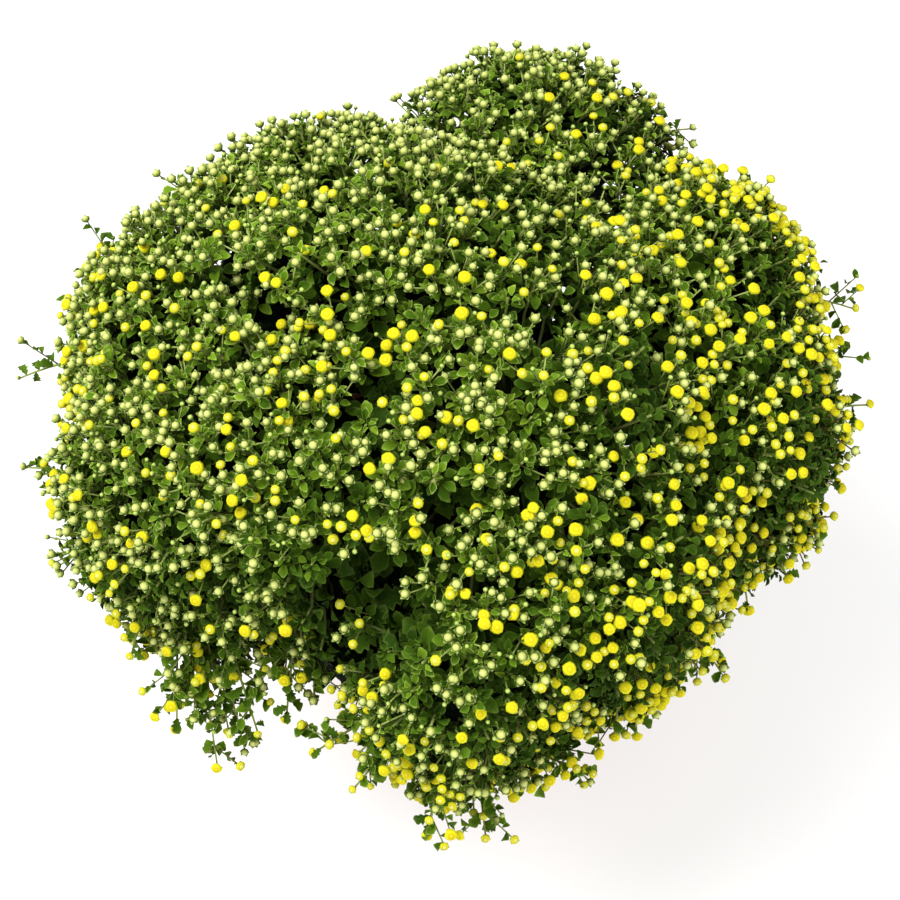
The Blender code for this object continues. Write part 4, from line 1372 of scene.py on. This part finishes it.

# %% [markdown]
# ## Leaf material
# A living leaf blade: mid green and slightly waxy, with a pale raised edge that is partly a painted
# highlight, a pale midrib, and side veins that show as low ridges. Young leaves near the flowers are
# yellower. The old ones inside are dark and bluish, and leaves deep in the bush, in a cleft or on a
# shaded flank are painted darker the same way, as shade. Tone and depth come with each leaf, so no two
# neighbours match.

# %% Leaf


def leaf_material():
    """Make the living leaf: pale edge, partly painted highlight, and midrib on a green that ages and takes
    painted shade with depth.
    """
    material, tree, shader = start_material("living_leaf_blade", 0.6, specular=0.05)
    blade = add(tree, "UVMap", uv_map="blade")["UV"]
    parts = add(tree, "SeparateXYZ", {"Vector": blade})
    tone = add(tree, "Attribute", attribute_name="tone")["Fac"]
    depth = add(tree, "Attribute", attribute_name="depth")["Fac"]
    # the blade runs from 0 to 1 across and along, so this is 0 on the midrib and 1 on both edges
    across = add(tree, "Math", {0: parts["X"], 1: 2.0, 2: -1.0}, operation="MULTIPLY_ADD")[0]
    off_rib = add(tree, "Math", {0: across}, operation="ABSOLUTE")[0]
    up_blade = add(tree, "Math", {0: parts["Y"], 1: 0.97}, operation="MULTIPLY")[0]
    edge = add(tree, "Math", {0: off_rib, 1: up_blade, 2: 0.05}, operation="SMOOTH_MAX")[0]
    # the pale rim is partly the leaf's margin and partly a painted highlight where the curled edge catches
    # light
    pale_rim_and_highlight = add(tree, "MapRange", {"Value": edge, "From Min": 0.76, "From Max": 0.98})["Result"]
    rib = add(tree, "MapRange", {"Value": off_rib, "From Min": 0.10, "From Max": 0.02})["Result"]
    fresh = add(
        tree, "ValToRGB", {"Fac": tone}, [(0.0, "#426408"), (0.5, "#587C10"), (1.0, "#80A020")],
    )["Color"]
    # old leaves, and leaves in painted shade deep in the bush or on a shaded flank, take this darker green
    old_and_shaded = add(tree, "ValToRGB", {"Fac": tone}, [(0.0, "#1D3606"), (1.0, "#3A570C")])["Color"]
    colour = add(tree, "Mix", {0: depth, 6: fresh, 7: old_and_shaded}, data_type="RGBA")[2]
    # the rib and the rim are paler, and less so on an old leaf and where painted shade falls
    rib_fade = add(tree, "Math", {0: depth, 1: -0.27, 2: 0.30}, operation="MULTIPLY_ADD")[0]
    rib_share = add(tree, "Math", {0: rib, 1: rib_fade}, operation="MULTIPLY")[0]
    colour = add(tree, "Mix", {0: rib_share, 6: colour, 7: "#7F9630"}, data_type="RGBA")[2]
    rim_fade = add(tree, "Math", {0: depth, 1: -1.2, 2: 0.95}, operation="MULTIPLY_ADD")[0]
    rim_fade = add(tree, "Math", {0: rim_fade, 1: 0.10}, operation="MAXIMUM")[0]
    rim_share = add(tree, "Math", {0: pale_rim_and_highlight, 1: rim_fade}, operation="MULTIPLY")[0]
    colour = add(tree, "Mix", {0: rim_share, 6: colour, 7: "#BCD068"}, data_type="RGBA")[2]
    tree.links.new(colour, shader.inputs["Base Color"])
    # about seven side veins, slanting to the tip, and the midrib sunk between them
    slant = add(tree, "Math", {0: off_rib, 1: -0.45, 2: parts["Y"]}, operation="MULTIPLY_ADD")[0]
    slant = add(tree, "Math", {0: slant, 1: 46.0}, operation="MULTIPLY")[0]
    veins = add(tree, "Math", {0: slant}, operation="SINE")[0]
    sunk = add(tree, "Math", {0: rib, 1: -1.0}, operation="MULTIPLY")[0]
    ridge = add(tree, "Math", {0: veins, 1: 0.3, 2: sunk}, operation="MULTIPLY_ADD")[0]
    bump = add(tree, "Bump", {"Height": ridge, "Strength": 0.35, "Distance": 0.0006})
    tree.links.new(bump["Normal"], shader.inputs["Normal"])
    return material


living_leaf = leaf_material()
dried_leaf, tree, shader = start_material("dried_leaf_blade", 0.85, specular=0.05)
tone = add(tree, "Attribute", attribute_name="tone")["Fac"]
shrivelled = add(
    tree, "ValToRGB", {"Fac": tone}, [(0.0, "#4A3420"), (0.6, "#7A6038"), (1.0, "#A08A58")],
)["Color"]
tree.links.new(shrivelled, shader.inputs["Base Color"])

# %% [markdown]
# ## Stalk, cup and floret materials
# A fresh stalk is pale grey-green with fine hairs that catch the light. Lower down it turns to wood,
# and where it runs into the bush it is painted darker, as shade.
# The cup's scales are green with papery pale edges. Florets are matt and packed: cream-green while
# shut, lemon when they open, and full yellow with a deeper middle once open.

# %% Stalk, cup and florets


def stalk_material():
    """Make the downy stalk, from wood at tone 0 to a pale fresh green at tone 1."""
    material, tree, shader = start_material("downy_stalk", 0.7, specular=0.12)
    tone = add(tree, "Attribute", attribute_name="tone")["Fac"]
    depth = add(tree, "Attribute", attribute_name="depth")["Fac"]
    along = add(tree, "UVMap", uv_map="blade")["UV"]
    height = add(tree, "SeparateXYZ", {"Vector": along})["Y"]
    fresh = add(
        tree, "ValToRGB", {"Fac": tone}, [(0.0, "#6B5233"), (0.3, "#7A873C"), (1.0, "#AFBF6C")],
    )["Color"]
    # painted shade: darker downwards, where it runs into the bush
    painted_shade_below = add(tree, "Math", {0: 1.25, 1: height}, operation="SUBTRACT")[0]
    painted_shade_below = add(tree, "Math", {0: depth, 1: painted_shade_below}, operation="MULTIPLY")[0]
    colour = add(tree, "Mix", {0: painted_shade_below, 6: fresh, 7: "#1C220C"}, data_type="RGBA")[2]
    place = add(tree, "TexCoord")["Object"]
    # streaks about 2 mm apart
    streaks = add(tree, "TexNoise", {"Vector": place, "Scale": 450.0, "Detail": 2.0})["Fac"]
    streaks = add(tree, "Math", {0: streaks, 1: 0.30}, operation="MULTIPLY")[0]
    colour = add(tree, "Mix", {0: streaks, 6: colour, 7: "#55602E"}, data_type="RGBA")[2]
    tree.links.new(colour, shader.inputs["Base Color"])
    return material


def cup_material():
    """Make the bud's scaly cup, green below and papery at the claws' tips."""
    material, tree, shader = start_material("bud_cup_scales", 0.7, specular=0.12)
    places = add(tree, "UVMap", uv_map="blade")["UV"]
    height = add(tree, "SeparateXYZ", {"Vector": places})["Y"]
    tone = add(tree, "Attribute", attribute_name="tone")["Fac"]
    green = add(tree, "ValToRGB", {"Fac": tone}, [(0.0, "#55702A"), (1.0, "#82983F")])["Color"]
    tips = add(tree, "MapRange", {"Value": height, "From Min": 0.36, "From Max": 0.62})["Result"]
    tips = add(tree, "Math", {0: tips, 1: 0.8}, operation="MULTIPLY")[0]
    colour = add(tree, "Mix", {0: tips, 6: green, 7: "#BFCB86"}, data_type="RGBA")[2]
    tree.links.new(colour, shader.inputs["Base Color"])
    return material


def floret_material(name, stops, light, grain_mm, by="X"):
    """Make packed florets coloured from their middle out, or by height, with a packed grain."""
    material, tree, shader = start_material(name, 0.8, specular=0.1)
    places = add(tree, "UVMap", uv_map="blade")["UV"]
    shown = add(tree, "SeparateXYZ", {"Vector": places})[by]
    tone = add(tree, "Attribute", attribute_name="tone")["Fac"]
    tone = add(tree, "Math", {0: tone, 1: 0.30}, operation="MULTIPLY")[0]
    colour = add(tree, "ValToRGB", {"Fac": shown}, stops)["Color"]
    colour = add(tree, "Mix", {0: tone, 6: colour, 7: light}, data_type="RGBA")[2]
    tree.links.new(colour, shader.inputs["Base Color"])
    place = add(tree, "TexCoord")["Object"]
    packed = add(tree, "TexVoronoi", {"Vector": place, "Scale": 1000.0 / grain_mm})["Distance"]
    bump = add(
        tree, "Bump", {"Height": packed, "Strength": 0.4, "Distance": 0.0004}, invert=True,
    )
    tree.links.new(bump["Normal"], shader.inputs["Normal"])
    return material


downy_stalk = stalk_material()
bud_materials = [
    cup_material(),
    floret_material(
        "shut_green_florets", [(0.42, "#3E5618"), (0.58, "#6E8830"), (0.76, "#A0B454"), (0.90, "#BCC878")],
        "#A6B75E", 1.2, by="Y"),
    floret_material(
        "shut_cream_florets", [(0.42, "#566F28"), (0.62, "#949E48"), (0.76, "#B3BA62"), (0.88, "#C5CB8C")],
        "#BEC46C", 1.2, by="Y"),
    # the darker ring at 0.52 is partly a deeper yellow and partly painted shadow at the dimple's edge
    floret_material(
        "opening_lemon_florets",
        [(0.0, "#CCCC80"), (0.36, "#C8C654"), (0.52, "#A69E1E"), (0.66, "#CAC61A"), (1.0, "#BEBA14")],
        "#C8C63C", 1.3),
    floret_material(
        "open_yellow_florets",
        [(0.0, "#CEC42E"), (0.22, "#CABC1A"), (0.38, "#B8A40C"), (0.56, "#CEC614"), (0.85, "#CECA1E"),
         (1.0, "#BEB612")],
        "#CEC822", 1.6),
]

# %% [markdown]
# ## The dark inside
# The core is painted shade: it stands for twigs and old leaves in deep shade. It is nearly black and
# matt, with a mottle a few millimetres across, so that a gap between leaves looks deep.

# %% Dark heart
painted_shade_core, tree, shader = start_material("shaded_twig_tangle", 0.95, specular=0.05)
place = add(tree, "TexCoord")["Object"]
tangle = add(tree, "TexNoise", {"Vector": place, "Scale": 180.0, "Detail": 4.0})["Fac"]
# painted shade: near-black colours for twigs and old leaves in deep shade
tangle = add(
    tree, "ValToRGB", {"Fac": tangle}, [(0.35, "#050804"), (0.60, "#111A0A"), (0.75, "#1C2610")],
)["Color"]
tree.links.new(tangle, shader.inputs["Base Color"])
for heart in hearts.values():
    heart.data.materials.clear()
    heart.data.materials.append(painted_shade_core)

# %% [markdown]
# ## From copies to pieces
# Each plant gets one piece of leaves, one of stalks and one of buds. Together with its heart they
# replace its CAD node and ride on the same body.

# %% Make the pieces of each plant
for plant in PLANTS:
    leaves.make("leaves", plant, [living_leaf, dried_leaf])
    stalks.make("stalks", plant, [downy_stalk])
    buds.make("buds", plant, bud_materials)

# %% [markdown]
# ## Pot and soil
# The pot is thrown or pressed clay, fired once and left unglazed: matt, orange-brown, a little uneven,
# with a pale bloom where lime dries out at the rim and the foot. The soil is a dark peaty mix.

# %% Terracotta and potting soil
terracotta, tree, shader = start_material("unglazed_terracotta", 0.85, specular=0.25)
place = add(tree, "TexCoord")["Object"]
height = add(tree, "SeparateXYZ", {"Vector": place})["Z"]
# patches of the firing, a few centimetres across
patches = add(tree, "TexNoise", {"Vector": place, "Scale": 22.0, "Detail": 4.0})["Fac"]
clay = add(
    tree, "ValToRGB", {"Fac": patches}, [(0.30, "#AC5C36"), (0.50, "#B9663D"), (0.70, "#C0724A")],
)["Color"]
# the bloom of lime, over the lowest 50 mm and the highest 32 mm
at_foot = add(tree, "MapRange", {"Value": height, "From Min": 0.05, "From Max": 0.0})["Result"]
at_rim = add(tree, "MapRange", {"Value": height, "From Min": 0.19, "From Max": 0.222})["Result"]
bloom = add(tree, "Math", {0: at_foot, 1: at_rim}, operation="MAXIMUM")[0]
uneven = add(tree, "Math", {0: patches, 1: 0.75}, operation="MULTIPLY")[0]
bloom = add(tree, "Math", {0: bloom, 1: uneven}, operation="MULTIPLY")[0]
clay = add(tree, "Mix", {0: bloom, 6: clay, 7: "#D9B9A0"}, data_type="RGBA")[2]
tree.links.new(clay, shader.inputs["Base Color"])
# the grain of the clay, drawn at 1 mm so that it shows
grain = add(tree, "TexNoise", {"Vector": place, "Scale": 900.0, "Detail": 3.0})["Fac"]
bump = add(tree, "Bump", {"Height": grain, "Strength": 0.25, "Distance": 0.0005})
tree.links.new(bump["Normal"], shader.inputs["Normal"])

potting_soil, tree, shader = start_material("peaty_potting_soil", 0.95, specular=0.1)
place = add(tree, "TexCoord")["Object"]
# crumbs of 3 to 6 mm
crumbs = add(tree, "TexVoronoi", {"Vector": place, "Scale": 220.0})["Distance"]
soil_colour = add(
    tree, "ValToRGB", {"Fac": crumbs}, [(0.0, "#4A3526"), (0.4, "#33241A"), (0.8, "#1C130D")],
)["Color"]
tree.links.new(soil_colour, shader.inputs["Base Color"])
bump = add(tree, "Bump", {"Height": crumbs, "Strength": 0.9, "Distance": 0.002}, invert=True)
tree.links.new(bump["Normal"], shader.inputs["Normal"])

for node, material in (("pot", terracotta), ("soil", potting_soil)):
    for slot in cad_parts[node].material_slots:
        slot.material = material
